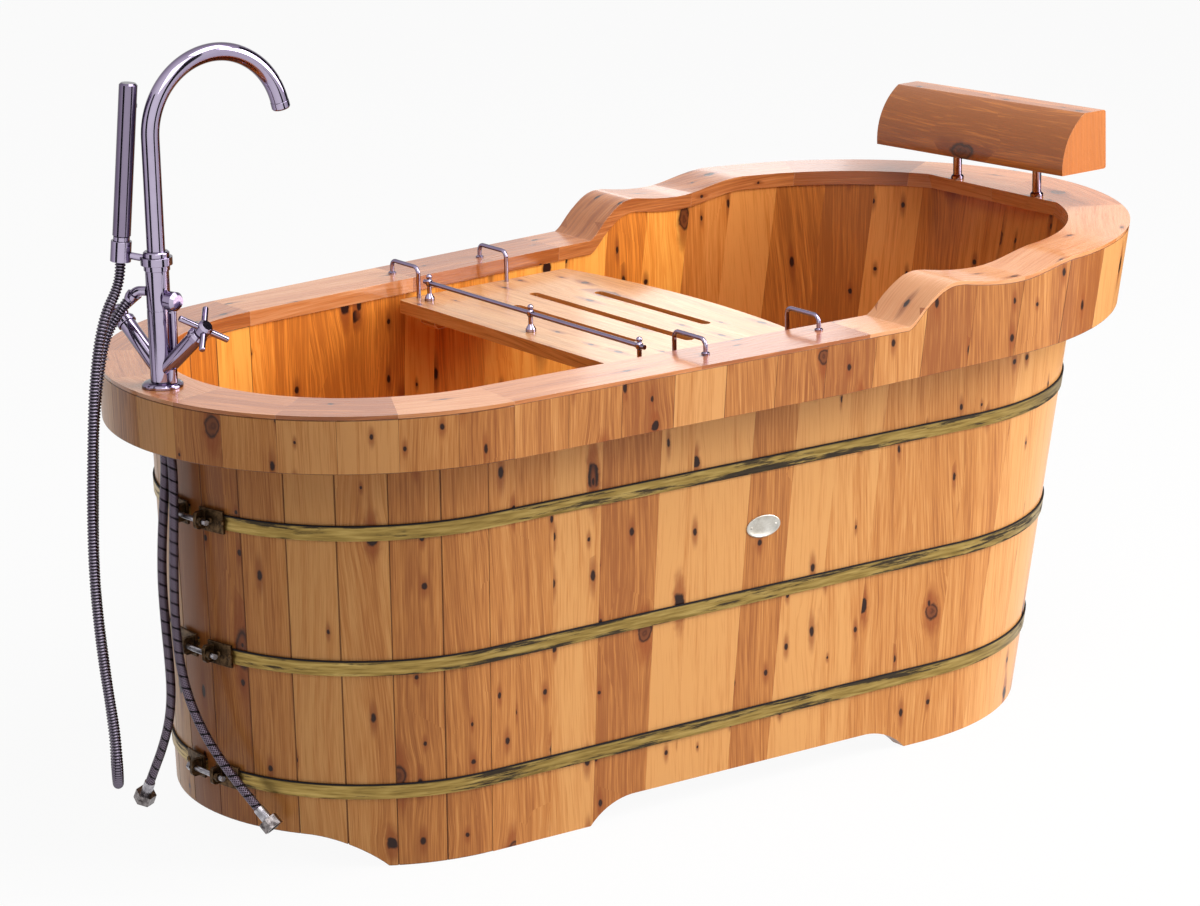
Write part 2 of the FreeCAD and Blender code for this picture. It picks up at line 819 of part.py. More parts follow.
def make_drain():
    floor_top = floor_z + floor_thickness
    seat = floor_top - drain_recess_depth
    centre = Vector(drain_x, 0, 0)
    bore = drain_bore_radius
    tube = drain_tube_radius
    rim = seat + drain_flange_thickness + seat_gap
    cone = plug_radius - plug_thickness
    spigot = drain_spigot_radius
    spigot_top = drain_tube_bottom_z + drain_spigot_length
    body = turned([(bore, drain_tube_bottom_z), (spigot, drain_tube_bottom_z), (spigot, spigot_top), (tube, spigot_top),
                   (tube, seat + seat_gap),
                   (drain_flange_radius, seat + seat_gap), (drain_flange_radius, rim - seat_gap),
                   (plug_radius + plug_mouth_share * plug_clearance, rim), (cone + plug_clearance, rim - drain_flange_thickness),
                   (bore, rim - drain_flange_thickness)], centre)
    guide_low = seat - plug_guide_height
    guide = Part.makeCylinder(plug_guide_radius, plug_guide_height, Vector(drain_x, 0, guide_low))
    bars = []
    for turn in (0, 90):
        bar = Part.makeBox(2 * bore + cross_bar_width / 2, cross_bar_width, cross_bar_height,
                           Vector(-bore - cross_bar_width / 4, -cross_bar_width / 2, guide_low))
        bar.rotate(Vector(0, 0, 0), z_axis, turn)
        bar.translate(centre)
        bars.append(bar)
    stem_hole = Part.makeCylinder(plug_stem_radius + plug_guide_gap, 4 * plug_guide_height,
                                  Vector(drain_x, 0, guide_low - plug_guide_height))
    save("drain_waste", whole(joined(body, guide, *bars).cut(stem_hole)))

    under = floor_z - seat_gap
    seal = Part.makeCylinder(drain_recess_radius, drain_seal_thickness, Vector(drain_x, 0, under - drain_seal_thickness))
    seal = seal.cut(Part.makeCylinder(tube + seat_gap, 2 * overrun, Vector(drain_x, 0, under - overrun)))
    save("drain_seal", seal)
    nut = hex_bar(drain_nut_width, drain_nut_thickness)
    nut.translate(Vector(drain_x, 0, under - drain_seal_thickness - drain_nut_thickness))
    nut = nut.cut(Part.makeCylinder(tube + seat_gap, 2 * overrun, Vector(drain_x, 0, under - overrun)))
    save("drain_nut", nut)

    lid_low = rim - drain_flange_thickness + plug_clearance
    stem = plug_stem_radius
    crown = lid_low + plug_thickness
    plug = turned([(0, lid_low - plug_stem_length), (stem_tip_share * stem, lid_low - plug_stem_length),
                   (stem, lid_low - plug_stem_length + stem_taper_share * stem), (stem, lid_low), (cone - plug_clearance, lid_low),
                   (plug_radius - plug_clearance, rim), (plug_radius - plug_clearance, crown - lid_round_share * plug_thickness),
                   (lid_flat_share * plug_radius, crown), (0, crown + lid_round_share * plug_thickness)], centre)
    save("drain_plug", plug)


# Headrest

def make_headrest():
    front, back = headrest_front_x, headrest_front_x + headrest_depth
    low, high = headrest_z, headrest_z + headrest_height
    half = headrest_length / 2
    corner = Vector(front, -half, low)
    nose = Vector(front + headrest_front_set, -half, low + headrest_front_rise)
    brow = Vector(back - headrest_top_depth, -half, high)
    outline = Part.Wire([
        Part.Arc(corner, nose, brow).toShape(),
        Part.LineSegment(brow, Vector(back, -half, high)).toShape(),
        Part.LineSegment(Vector(back, -half, high), Vector(back, -half, low)).toShape(),
        Part.LineSegment(Vector(back, -half, low), corner).toShape(),
    ])
    block = Part.Face(outline).extrude(y_axis * headrest_length)
    long_edges = [edge for edge in block.Edges
                  if edge.Length > headrest_edge_share * headrest_length and edge.CenterOfMass.x > back - headrest_top_depth - headrest_edge]
    block = block.makeFillet(headrest_edge, long_edges)
    block.rotate(Vector(front, 0, low), x_axis, -headrest_tilt)
    posts, collars = [], []
    top = rim_z + rim_rise
    socket_top = low + post_socket_depth
    for side in (-1, 1):
        y = side * post_pitch / 2
        hole = Part.makeCylinder(post_radius + post_gap, post_socket_depth + overrun + post_gap,
                                 Vector(post_x, y, low - overrun))
        block = block.cut(hole)
        posts.append(Part.makeCylinder(post_radius, socket_top - top + post_into_rim,
                                       Vector(post_x, y, top - post_into_rim)))
        level = low - y * math.tan(math.radians(headrest_tilt))
        for z, radius, height in ((top + seat_gap, post_collar_radius, post_collar_height),
                                  (level - 2 * seat_gap - post_ring_height, post_ring_radius, post_ring_height)):
            outer = post_radius + post_gap
            collars.append(turned([(outer, z), (radius, z), (radius, z + collar_wall_share * height), (radius - collar_taper_share * height, z + height),
                                   (outer, z + height)], Vector(post_x, y, 0)))
    save("headrest_block", whole(block))
    save("headrest_posts", *posts)
    save("headrest_collars", *collars)


# Tray

def tray_top():
    return rim_z - tray_drop


def make_tray():
    left, right = tray_x - tray_length / 2, tray_x + tray_length / 2
    half = tray_half_width
    low = tray_top() - tray_thickness
    corners = [Vector(right, half, low), Vector(left, half, low), Vector(left, -half, low), Vector(right, -half, low)]
    edges = Part.makePolygon(corners).Edges
    edges.append(Part.Arc(corners[3], Vector(right + tray_bow, 0, low), corners[0]).toShape())
    board = Part.Face(Part.Wire(edges)).extrude(z_axis * tray_thickness)
    upright_edges = [edge for edge in board.Edges if abs(edge.Length - tray_thickness) < match_share * tray_thickness]
    board = board.makeFillet(tray_edge, upright_edges)
    for place, reach in zip(slot_places, slot_half_lengths):
        straight = reach - slot_width / 2
        x = tray_x + place
        slot = Part.makeBox(slot_width, 2 * straight, 2 * overrun, Vector(x - slot_width / 2, -straight, low - overrun))
        for end in (-straight, straight):
            slot = slot.fuse(Part.makeCylinder(slot_width / 2, 2 * overrun, Vector(x, end, low - overrun)))
        board = board.cut(slot)
    hooks, feet = [], []
    for side, places in ((1, far_hook_places), (-1, near_hook_places)):
        for x in places:
            hook, foot = make_hook(x, side)
            hooks.append(hook)
            feet.append(foot)
            hole = Part.makeCylinder(hook_radius + hook_gap, 2 * overrun, Vector(x, side * hook_tray_y, low - overrun))
            board = board.cut(hole)
    posts = []
    for y in (-rail_half_length, 0, rail_half_length):
        posts.append(rail_post(Vector(rail_x, y, tray_top() + seat_gap)))
    save("tray_board", whole(board))
    save("tray_hooks", *hooks)
    save("hook_feet", *feet)
    save("tray_rail_posts", *posts)
    reach = rail_half_length + 2 * rail_ball_radius
    height = tray_top() + rail_height
    rail = rod(Vector(rail_x, -reach, height), Vector(rail_x, reach, height), rail_radius)
    save("tray_rail", rail)

    battens = []
    for side in (-1, 1):
        y = side * (tray_half_width - tray_batten_inset)
        start = left + tray_batten_end
        batten = Part.makeBox(tray_length - 2 * tray_batten_end, tray_batten_width, tray_batten_thickness,
                              Vector(start, y - tray_batten_width / 2, low - seat_gap - tray_batten_thickness))
        ends = [edge for edge in batten.Edges if abs(edge.Length - tray_batten_width) < match_share * tray_batten_width
                and edge.CenterOfMass.z < low - tray_batten_thickness]
        battens.append(batten.makeChamfer(tray_edge, ends))
    save("tray_battens", *battens)


def make_hook(x, side):
    """Rod bent over the edge of the rim, from the tray up and across to a foot on the rim."""
    low = tray_top() - tray_thickness
    top = rim_z + hook_rise
    foot_low = rim_z + seat_gap + hook_foot_height
    inside, outside = side * hook_tray_y, side * hook_rim_y
    bend = hook_bend
    slant = bend * (1 - math.cos(math.pi / 4))
    step = side * bend
    path = Part.Wire([
        Part.LineSegment(Vector(x, inside, low), Vector(x, inside, top - bend)).toShape(),
        Part.Arc(Vector(x, inside, top - bend), Vector(x, inside + side * slant, top - slant),
                 Vector(x, inside + step, top)).toShape(),
        Part.LineSegment(Vector(x, inside + step, top), Vector(x, outside - step, top)).toShape(),
        Part.Arc(Vector(x, outside - step, top), Vector(x, outside - side * slant, top - slant),
                 Vector(x, outside, top - bend)).toShape(),
        Part.LineSegment(Vector(x, outside, top - bend), Vector(x, outside, foot_low)).toShape(),
    ])
    section = Part.Wire(Part.makeCircle(hook_radius, Vector(x, inside, low), z_axis))
    hook = whole(path.makePipeShell([section], True, False))
    foot = turned([(0, rim_z + seat_gap), (hook_foot_radius, rim_z + seat_gap),
                   (hook_foot_radius, rim_z + seat_gap + hook_foot_share * hook_foot_height),
                   (hook_radius, foot_low), (0, foot_low)], Vector(x, outside, 0))
    return hook, foot


def rail_post(place):
    """Turned post with a flared foot, a bored bead for the rail and a ball on top."""
    base, waist, ball = rail_post_radius, rail_post_waist, rail_ball_radius
    bead = rail_radius + rail_fit + waist / 2
    level = rail_height - seat_gap
    post = turned([(0, 0), (base, 0), (base, post_foot_share * level), (waist, post_waist_share * level), (waist, level - bead),
                   (bead, level - bead_share * bead), (bead, level + bead_share * bead), (waist, level + bead), (0, level + bead)])
    knob = Part.makeSphere(top_ball_share * ball, Vector(0, 0, level + bead + top_rise_share * ball))
    post = joined(post, knob)
    post.translate(place)
    bore = Part.makeCylinder(rail_radius + rail_fit, 4 * base, Vector(place.x, place.y - 2 * base, tray_top() + rail_height),
                             y_axis)
    return whole(post.cut(bore))


# Mixer

def tap_point(forward, left, up):
    """A place given from the foot of the tap: towards the bath, to its left, and above the rim."""
    turn = math.radians(tap_turn)
    x = tap_x + forward * math.cos(turn) - left * math.sin(turn)
    y = forward * math.sin(turn) + left * math.cos(turn)
    return Vector(x, y, rim_z + up)


def tap_direction(forward, left, up):
    return (tap_point(forward, left, up) - tap_point(0, 0, 0)).normalize()


def arm_axis(side):
    level = math.cos(math.radians(arm_angle))
    return tap_direction(arm_forward / arm_length * level, side * level, math.sin(math.radians(arm_angle)))


def make_mixer():
    base = seat_gap + flange_height
    save("tap_flange", turned([(pillar_radius - groove_depth + seat_gap, seat_gap), (flange_radius, seat_gap),
                               (flange_radius, flange_wall_share * base), (flange_radius - flange_round_share * base, flange_step_share * base),
                               (pillar_radius + flange_foot_share * base, base), (pillar_radius - groove_depth + seat_gap, base)],
                              tap_point(0, 0, 0)))
    body, foot = pillar_radius, pillar_radius - groove_depth
    groove = pillar_groove_z
    pillar = turned([(0, seat_gap), (foot, seat_gap), (foot, base + seat_gap), (body, base + seat_gap),
                     (body, groove), (foot, groove), (foot, groove + groove_width), (body, groove + groove_width),
                     (body, pillar_height), (pillar_bore, pillar_height), (pillar_bore, pillar_height - spout_neck_length),
                     (0, pillar_height - spout_neck_length)], tap_point(0, 0, 0))
    arms = []
    start = tap_point(0, 0, arm_start_z)
    for side in (-1, 1):
        arms.append(rod(start, start + arm_axis(side) * arm_length, arm_radius))
    leg_top = arm_start_z + leg_offset * math.tan(math.radians(arm_angle))
    leg = rod(tap_point(0, -leg_offset, base + seat_gap), tap_point(0, -leg_offset, leg_top), leg_radius)
    link_top = tap_point(link_forward, link_side, link_high)
    link = rod(tap_point(link_forward, link_side, link_low), link_top, link_radius)
    stub = rod(tap_point(0, 0, link_high), link_top, link_radius)
    elbow = Part.makeSphere(link_radius, link_top)
    blocks = joined(pillar, leg, link, stub, elbow, *arms)
    cuts = []
    for side in (-1, 1):
        end = start + arm_axis(side) * arm_length
        cuts.append(rod(end - arm_axis(side) * bonnet_length, end + arm_axis(side) * bonnet_length,
                        stem_radius + stem_gap))
    knob_axis = tap_direction(0, -1, 0)
    centre = tap_point(0, 0, diverter_z)
    cuts.append(rod(centre + knob_axis * (knob_start - knob_stem_depth), centre + knob_axis * knob_end,
                    knob_stem_radius + stem_gap))
    save("mixer_body", whole(blocks.cut(cuts)))

    path = outlet_path()
    section = Part.Wire(Part.makeCircle(outlet_radius, path[0], path[3]))
    path = Part.Wire([Part.LineSegment(path[0], path[1]).toShape(), Part.Arc(path[1], path[2], path[4]).toShape()])
    save("hose_outlet", whole(path.makePipeShell([section], True, False)))
    make_handles(start)
    make_diverter(centre, knob_axis)


def outlet_path():
    """Start, bend, middle of the bend, level direction, end and end direction of the hose outlet."""
    turn, sweep = math.radians(outlet_turn), math.radians(outlet_sweep)
    level = tap_direction(-math.sin(turn), math.cos(turn), 0)
    centre = tap_point(0, 0, outlet_z)
    bend = centre + level * outlet_straight
    ends = []
    for angle in (sweep / 2, sweep):
        ends.append(bend + level * outlet_bend * math.sin(angle) - z_axis * outlet_bend * (1 - math.cos(angle)))
    last = level * math.cos(sweep) - z_axis * math.sin(sweep)
    return centre + level * (pillar_radius + seat_gap), bend, ends[0], level, ends[1], last


def make_handles(start):
    bonnets = []
    for side, name, rest in ((-1, "near_handle", near_handle_turn), (1, "far_handle", far_handle_turn)):
        axis = arm_axis(side)
        end = start + axis * (arm_length + seat_gap)
        bonnet = turned([(stem_radius + stem_gap, 0), (bonnet_radius, 0), (bonnet_radius, bonnet_wall_share * bonnet_length),
                         (bonnet_radius - bonnet_taper_share * bonnet_length, bonnet_length), (stem_radius + stem_gap, bonnet_length)],
                        end, axis)
        bonnets.append(bonnet)
        hub_start = end + axis * (bonnet_length + handle_gap)
        hub = handle_hub_radius
        length = handle_hub_length
        stem_low = -bonnet_length - handle_gap - bonnet_wall_share * bonnet_length
        solid = turned([(0, stem_low), (stem_radius, stem_low), (stem_radius, 0), (hub_neck_share * hub, 0), (hub, hub_round_share * length),
                        (hub, length - hub_round_share * length), (hub_cap_share * hub, length), (0, length)])
        for turn in (rest, rest + 90):
            spoke = Part.makeCylinder(handle_rod_radius, 2 * handle_reach, Vector(-handle_reach, 0, length / 2), x_axis)
            tips = [edge for edge in spoke.Edges if edge.Closed]
            spoke = spoke.makeFillet(rod_tip_share * handle_rod_radius, tips)
            spoke.rotate(Vector(0, 0, 0), z_axis, turn)
            solid = joined(solid, spoke)
        save(name, aimed(solid, hub_start, axis))
    save("valve_bonnets", *bonnets)


def make_diverter(centre, axis):
    depth = knob_stem_depth
    knob = turned([(0, -depth + seat_gap), (knob_stem_radius, -depth + seat_gap), (knob_stem_radius, 0), (knob_neck_share * knob_radius, 0),
                   (knob_radius, hub_round_share * knob_radius), (knob_radius, knob_end - knob_start - knob_round_share * knob_radius),
                   (hub_cap_share * knob_radius, knob_end - knob_start), (0, knob_end - knob_start)],
                  centre + axis * knob_start, axis)
    save("diverter_knob", knob)


def make_deck_fixing():
    """Below the rim: the two hose tails, and a stud with a horseshoe plate and a nut."""
    tails = []
    for side in (-1, 1):
        place = tap_point(0, 0, 0) + y_axis * side * tail_spread
        tails.append(turned([(0, -tail_length), (tail_radius, -tail_length), (tail_radius, 0), (0, 0)], place))
    save("hose_tails", *tails)
    deck_low = -cap_thickness - seat_gap
    stud_place = tap_point(0, 0, 0) + x_axis * stud_offset
    save("deck_stud", rod(stud_place - z_axis * stud_length, stud_place, stud_radius))
    plate = Part.makeCylinder(horseshoe_radius, horseshoe_thickness, tap_point(0, 0, deck_low - horseshoe_thickness))
    slot = Part.makeBox(horseshoe_radius + tail_radius + seat_gap + tail_radius, 2 * (tail_spread + tail_radius + 2 * seat_gap),
                        2 * overrun, Vector(-horseshoe_radius - tail_radius, -tail_spread - tail_radius - 2 * seat_gap, -overrun))
    slot.translate(tap_point(0, 0, deck_low))
    hole = Part.makeCylinder(stud_radius + seat_gap, 2 * overrun, stud_place - z_axis * overrun)
    save("horseshoe_plate", whole(plate.cut([slot, hole])))
    nut = hex_bar(deck_nut_width, deck_nut_height)
    nut.translate(stud_place + z_axis * (deck_low - horseshoe_thickness - seat_gap - deck_nut_height))
    save("deck_nut", nut.cut(hole))


def make_spout():
    """Swivelling swan neck: a necked tube, an arc over the bath and an aerator."""
    base = tap_point(0, 0, pillar_height + seat_gap)
    inner = spout_radius + spout_neck_gap
    save("spout_collar", turned([(inner, 0), (collar_radius, 0), (collar_radius, collar_height - edge_share * collar_height),
                                 (collar_radius - edge_share * collar_height, collar_height), (inner, collar_height)], base))
    foot = tap_point(0, 0, pillar_height + 2 * seat_gap)
    turn_start = tap_point(0, 0, spout_arc_z)
    reach = spout_arc_radius
    ends = []
    for sweep in (spout_sweep / 2, spout_sweep):
        angle = math.radians(180 - sweep)
        ends.append(turn_start + Vector(reach + reach * math.cos(angle), 0, reach * math.sin(angle)))
    path = Part.Wire([Part.LineSegment(foot, turn_start).toShape(), Part.Arc(turn_start, *ends).toShape()])
    tube = whole(path.makePipeShell([Part.Wire(Part.makeCircle(spout_radius, foot, z_axis))], True, False))
    finish = Vector(math.sin(math.radians(spout_sweep)), 0, math.cos(math.radians(spout_sweep))).normalize()
    drop = bore_length = 3 * aerator_length
    hole = rod(ends[1] - finish * bore_length, ends[1] + finish * drop, spout_bore)
    neck = turned([(0, -spout_neck_length + 2 * seat_gap), (spout_neck_radius - 2 * seat_gap, -spout_neck_length + 2 * seat_gap),
                   (spout_neck_radius - 2 * seat_gap, 2 * seat_gap), (0, 2 * seat_gap)], tap_point(0, 0, pillar_height))
    save("spout", joined(tube.cut(hole), neck))
    tip = ends[1] + finish * aerator_gap
    save("aerator", turned([(aerator_bore_share * spout_bore, 0), (aerator_radius, 0), (aerator_radius, aerator_wall_share * aerator_length),
                            (aerator_mouth_share * aerator_radius, aerator_length), (aerator_bore_share * spout_bore, aerator_length)], tip, finish))


def make_hand_shower():
    """Bracket clamped round the collar, its cup, and the wand that stands in the cup."""
    ring_low = pillar_height + seat_gap + (collar_height - bracket_ring_height) / 2
    middle = ring_low + bracket_ring_height / 2
    centre = tap_point(0, 0, 0)
    inner = collar_radius + bracket_gap
    outer = inner + bracket_ring_wall
    ring = turned([(inner, ring_low), (outer, ring_low), (outer, ring_low + bracket_ring_height),
                   (inner, ring_low + bracket_ring_height)], centre)
    cup_place = tap_point(-cup_back, cup_side, cup_z)
    axis = wand_axis()
    cup_middle = cup_place + axis * bracket_arm_share * cup_height
    arm = rod(tap_point(0, 0, middle), cup_middle, bracket_arm_radius)
    cup_body = aimed(Part.makeCylinder(cup_radius, cup_height), cup_place, axis)
    fused = joined(ring, arm, cup_body)
    hollow = aimed(cup_hollow(), cup_place, axis)
    core = Part.makeCylinder(inner, 4 * bracket_ring_height, tap_point(0, 0, ring_low - bracket_ring_height))
    save("shower_bracket", whole(fused.cut([hollow, core])))

    stub, body = wand_stub_radius, wand_radius
    low = cup_height + wand_lift
    top = low + wand_length
    wand = turned([(0, cup_height - wand_stub_depth), (stub, cup_height - wand_stub_depth), (stub, low), (body - edge_share * body, low),
                   (body, low + edge_share * body), (body, top - wand_round_share * body), (body - wand_round_share * body, top), (0, top)])
    recess_z = top - spray_place_share * body
    recess = Part.makeCylinder(wand_face_radius, overrun, Vector(body - wand_face_depth, 0, recess_z), x_axis)
    save("wand", aimed(whole(wand.cut(recess)), cup_place, axis))
    plate = Part.makeCylinder(wand_face_radius - seat_gap, wand_face_depth / 2,
                              Vector(body - wand_face_depth + seat_gap / 2, 0, recess_z), x_axis)
    save("wand_spray_plate", aimed(plate, cup_place, axis))

    ring_start, ring_end = cup_height + seat_gap, cup_height + seat_gap + cone_ring_height
    bore = stub + seat_gap
    nut = turned([(0, 0), (cone_low_radius, 0), (cone_high_radius, cup_height), (cone_high_radius, ring_start),
                  (cone_ring_radius, ring_start), (cone_ring_radius, ring_end), (bore, ring_end),
                  (bore, cup_height - wand_stub_depth - seat_gap), (0, cup_height - wand_stub_depth - seat_gap)])
    save("wand_nut", aimed(nut, cup_place, axis))


def wand_axis():
    tilt = math.tan(math.radians(wand_tilt))
    side = math.radians(wand_tilt_side)
    return tap_direction(tilt * math.cos(side), tilt * math.sin(side), 1)


def cup_hollow():
    """Tapered hollow of the cup, which the hose's cone nut follows with room to turn and lift."""
    slope = (cone_high_radius - cone_low_radius) / cup_height
    low, high = -overrun, cup_height + overrun
    return turned([(0, low), (cone_low_radius + cup_room, low), (cone_low_radius + cup_room, 0),
                   (cone_high_radius + cup_room, cup_height), (cone_high_radius + cup_room + slope * overrun, high),
                   (0, high)])


# Hoses

def tube_path(route, label):
    """Straight runs joined by tangent arcs, each arc as large as its two runs allow."""
    points = [Vector(*place) for place in route]
    edges, last, radii = [], points[0], []
    for before, corner, after in zip(points, points[1:], points[2:]):
        back, ahead = before - corner, after - corner
        run = min(back.Length, ahead.Length)
        back.normalize()
        ahead.normalize()
        turn = math.pi - back.getAngle(ahead)
        trim = arc_share * run
        radius = trim / math.tan(turn / 2)
        radii.append(radius)
        start, end = corner + back * trim, corner + ahead * trim
        inward = (back + ahead).normalize()
        middle = corner + inward * (radius / math.cos(turn / 2) - radius)
        edges.append(Part.LineSegment(last, start).toShape())
        edges.append(Part.Arc(start, middle, end).toShape())
        last = end
    edges.append(Part.LineSegment(last, points[-1]).toShape())
    path = Part.Wire(edges)
    print(label, "length", round(path.Length, 1), "radii", [round(radius) for radius in radii])
    return path


def hose(route, radius, label):
    path = tube_path(route, label)
    start, ahead = Vector(*route[0]), Vector(*route[1])
    section = Part.Wire(Part.makeCircle(radius, start, ahead - start))
    tube = whole(path.makePipeShell([section], True, False))
    expected = path.Length * math.pi * radius ** 2
    print(label, "volume over section times length", round(tube.Volume / expected, 4))
    return tube


def laid(route):
    """A route's points, moved along with the tap that it hangs from."""
    return [(x + tap_x - route_tap_x, y, z) for x, y, z in route]


def hose_end(route, last, gap):
    """Place and outward direction just past one end of a route."""
    tip, inner = (route[-1], route[-2]) if last else (route[0], route[1])
    direction = (Vector(*tip) - Vector(*inner)).normalize()
    return Vector(*tip) + direction * gap, direction


def make_hoses():
    save("shower_hose", hose(laid(shower_route), shower_hose_radius, "shower hose"))
    ends = outlet_path()
    place, axis = ends[4] + ends[5] * seat_gap, ends[5]
    length = outlet_nut_length
    save("outlet_nut", turned([(0, 0), (nut_radius, 0), (nut_radius, nut_wall_share * length), (shower_hose_radius, length),
                               (0, length)], place, axis))
    mouth = place + axis * length
    print("outlet nut mouth", mouth, "direction", axis)
    cup = tap_point(-cup_back, cup_side, cup_z)
    print("cone nut mouth", cup, "direction", wand_axis())

    ferrules, hexes = [], []
    for route, name in ((laid(near_hose_route), "near_supply_hose"), (laid(far_hose_route), "far_supply_hose")):
        save(name, hose(route, supply_hose_radius, name))
        for last in (False, True):
            place, axis = hose_end(route, last, 0)
            length = ferrule_length if last else upper_ferrule_share * ferrule_length
            ferrules.append(turned([(0, 0), (ferrule_radius - seat_gap, 0), (ferrule_radius, ferrule_lip_share * length),
                                    (ferrule_radius, length - ferrule_lip_share * length), (ferrule_radius - seat_gap, length), (0, length)],
                                   place, axis))
        place, axis = hose_end(route, True, ferrule_length)
        nut = hex_bar(supply_nut_width, supply_nut_length)
        mouth = Part.makeCylinder(supply_nut_bore, (1 - nut_base_share) * supply_nut_length, Vector(0, 0, nut_base_share * supply_nut_length))
        hexes.append(aimed(nut.cut(mouth), place, axis))
    save("supply_ferrules", *ferrules)
    save("supply_nuts", *hexes)


def main():
    os.makedirs("parts", exist_ok=True)
    make_staves()
    make_floor()
    make_cap()
    make_apron()
    make_hoops()
    make_clamps()
    make_drain()
    make_headrest()
    make_tray()
    make_mixer()
    make_deck_fixing()
    make_spout()
    make_hand_shower()
    make_hoses()


if __name__ == "__main__":
    main()
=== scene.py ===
import math
import random
from functools import cache, partial

import bmesh
import bpy
from mathutils import Matrix, Vector
from mathutils.bvhtree import BVHTree


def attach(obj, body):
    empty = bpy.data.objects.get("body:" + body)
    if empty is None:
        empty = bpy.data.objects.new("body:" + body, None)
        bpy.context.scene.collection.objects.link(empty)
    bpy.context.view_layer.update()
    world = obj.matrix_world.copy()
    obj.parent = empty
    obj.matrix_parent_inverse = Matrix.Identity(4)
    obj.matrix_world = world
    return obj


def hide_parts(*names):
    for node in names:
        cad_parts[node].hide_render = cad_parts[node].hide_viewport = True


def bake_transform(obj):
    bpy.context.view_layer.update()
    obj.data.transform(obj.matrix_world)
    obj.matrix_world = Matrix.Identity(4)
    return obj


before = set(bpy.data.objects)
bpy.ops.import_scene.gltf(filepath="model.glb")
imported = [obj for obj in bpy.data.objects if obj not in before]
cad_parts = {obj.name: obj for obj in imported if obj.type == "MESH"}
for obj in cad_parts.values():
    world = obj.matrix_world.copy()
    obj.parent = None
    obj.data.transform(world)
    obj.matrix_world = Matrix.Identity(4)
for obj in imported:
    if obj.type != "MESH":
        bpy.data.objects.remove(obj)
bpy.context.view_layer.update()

bl_info = {
    "name": "Wooden Bathtub",
    "version": (1, 0, 0),
    "blender": (4, 5, 0),
    "location": "View3D > Sidebar > Bathtub",
    "description": "Varnished boards, aged hoops, a chrome tap, hoses and a plain stage",
    "category": "Object",
}

UP = Vector((0, 0, 1))

# Where the tub's round ends have their centres, along its length
TAP_CENTRE, HEAD_CENTRE = -0.430, 0.350

# The hoses' thickness and their routes, from the source's own points, in metres
SHOWER_HOSE, SUPPLY_HOSE = 0.014, 0.012
SHOWER_ROUTE = [
    (-0.77326, 0.03062, 0.7699), (-0.77398, 0.03107, 0.76094), (-0.77644, 0.03035, 0.7492),
    (-0.7815, 0.0282, 0.7382), (-0.7891, 0.0248, 0.7283), (-0.8003, 0.0196, 0.7173),
    (-0.813, 0.0121, 0.7004), (-0.8233, 0.0072, 0.6772), (-0.8318, 0.0032, 0.6466),
    (-0.8397, -0.0004, 0.6055), (-0.8466, -0.0037, 0.548), (-0.8534, -0.0068, 0.48),
    (-0.857, -0.0087, 0.408), (-0.855, -0.0076, 0.343), (-0.8484, -0.0045, 0.272),
    (-0.8402, -0.0007, 0.217), (-0.8335, 0.0025, 0.173), (-0.8317, 0.0035, 0.126),
    (-0.8215, 0.0228, 0.096), (-0.805, 0.054, 0.0845), (-0.7885, 0.0852, 0.096),
    (-0.7783, 0.1045, 0.126), (-0.781, 0.106, 0.175), (-0.7865, 0.104, 0.228),
    (-0.794, 0.099, 0.285), (-0.801, 0.091, 0.345), (-0.8045, 0.082, 0.405),
    (-0.806, 0.073, 0.462), (-0.8085, 0.064, 0.506), (-0.81, 0.057, 0.548),
    (-0.8068, 0.0525, 0.59), (-0.802, 0.0495, 0.625), (-0.797, 0.0475, 0.652),
    (-0.7915, 0.0455, 0.672), (-0.7855, 0.043, 0.6865), (-0.778, 0.0396, 0.6976),
    (-0.7707, 0.0353, 0.7101), (-0.76546, 0.02929, 0.71959),
]
SUPPLY_ROUTES = {
    "near": [
        (-0.74, -0.0085, 0.575), (-0.74, -0.0085, 0.54), (-0.739, -0.013, 0.505),
        (-0.741, -0.013, 0.45), (-0.744, -0.012, 0.395), (-0.747, -0.013, 0.34),
        (-0.748, -0.015, 0.29), (-0.746, -0.019, 0.245), (-0.742, -0.031, 0.202),
        (-0.736, -0.052, 0.164), (-0.727, -0.078, 0.131), (-0.715, -0.106, 0.099),
        (-0.706, -0.125, 0.078),
    ],
    "far": [
        (-0.74, 0.0085, 0.575), (-0.74, 0.0085, 0.545), (-0.738, 0.006, 0.512),
        (-0.74, 0.012, 0.46), (-0.743, 0.017, 0.406), (-0.746, 0.017, 0.354),
        (-0.748, 0.011, 0.302), (-0.749, 0.004, 0.25), (-0.75, 0.001, 0.205),
        (-0.752, 0.008, 0.165), (-0.755, 0.024, 0.126), (-0.758, 0.04, 0.096),
        (-0.76, 0.05, 0.076),
    ],
}

# Edges that turn by more degrees than these stay sharp to the light
METAL_CREASE, HOOP_CREASE, WOOD_CREASE = 28, 30, 20
HOOP_EDGE = 0.0004

# The oval plate's outline: its share of the full width and how far it stands off the wall
PLATE_STEPS = ((1.0, 0.0002), (1.0, 0.0012), (0.96, 0.0017), (0.90, 0.0017), (0.86, 0.0012),
               (0.3, 0.0013))
PLATE_CORNERS = 64

# The camera's place in metres, its yaw, pitch and roll in radians, and its lens in millimetres
CAMERA_PLACE = (-3.060926, -3.979775, 1.809289)
CAMERA_TURN = (0.646, 0.276, -0.019)
CAMERA_LENS = 113.915

# Name, place, side in metres and watts of each lamp
LAMPS = (("Key", (2.9, -2.2, 2.1), 2.8, 214.0), ("Top", (0.4, -0.9, 3.1), 1.6, 45.0),
         ("Fill", (-1.3, -2.2, 3.2), 2.0, 28.0), ("Window", (3.12, 3.7, 1.78), 0.7, 3.2))
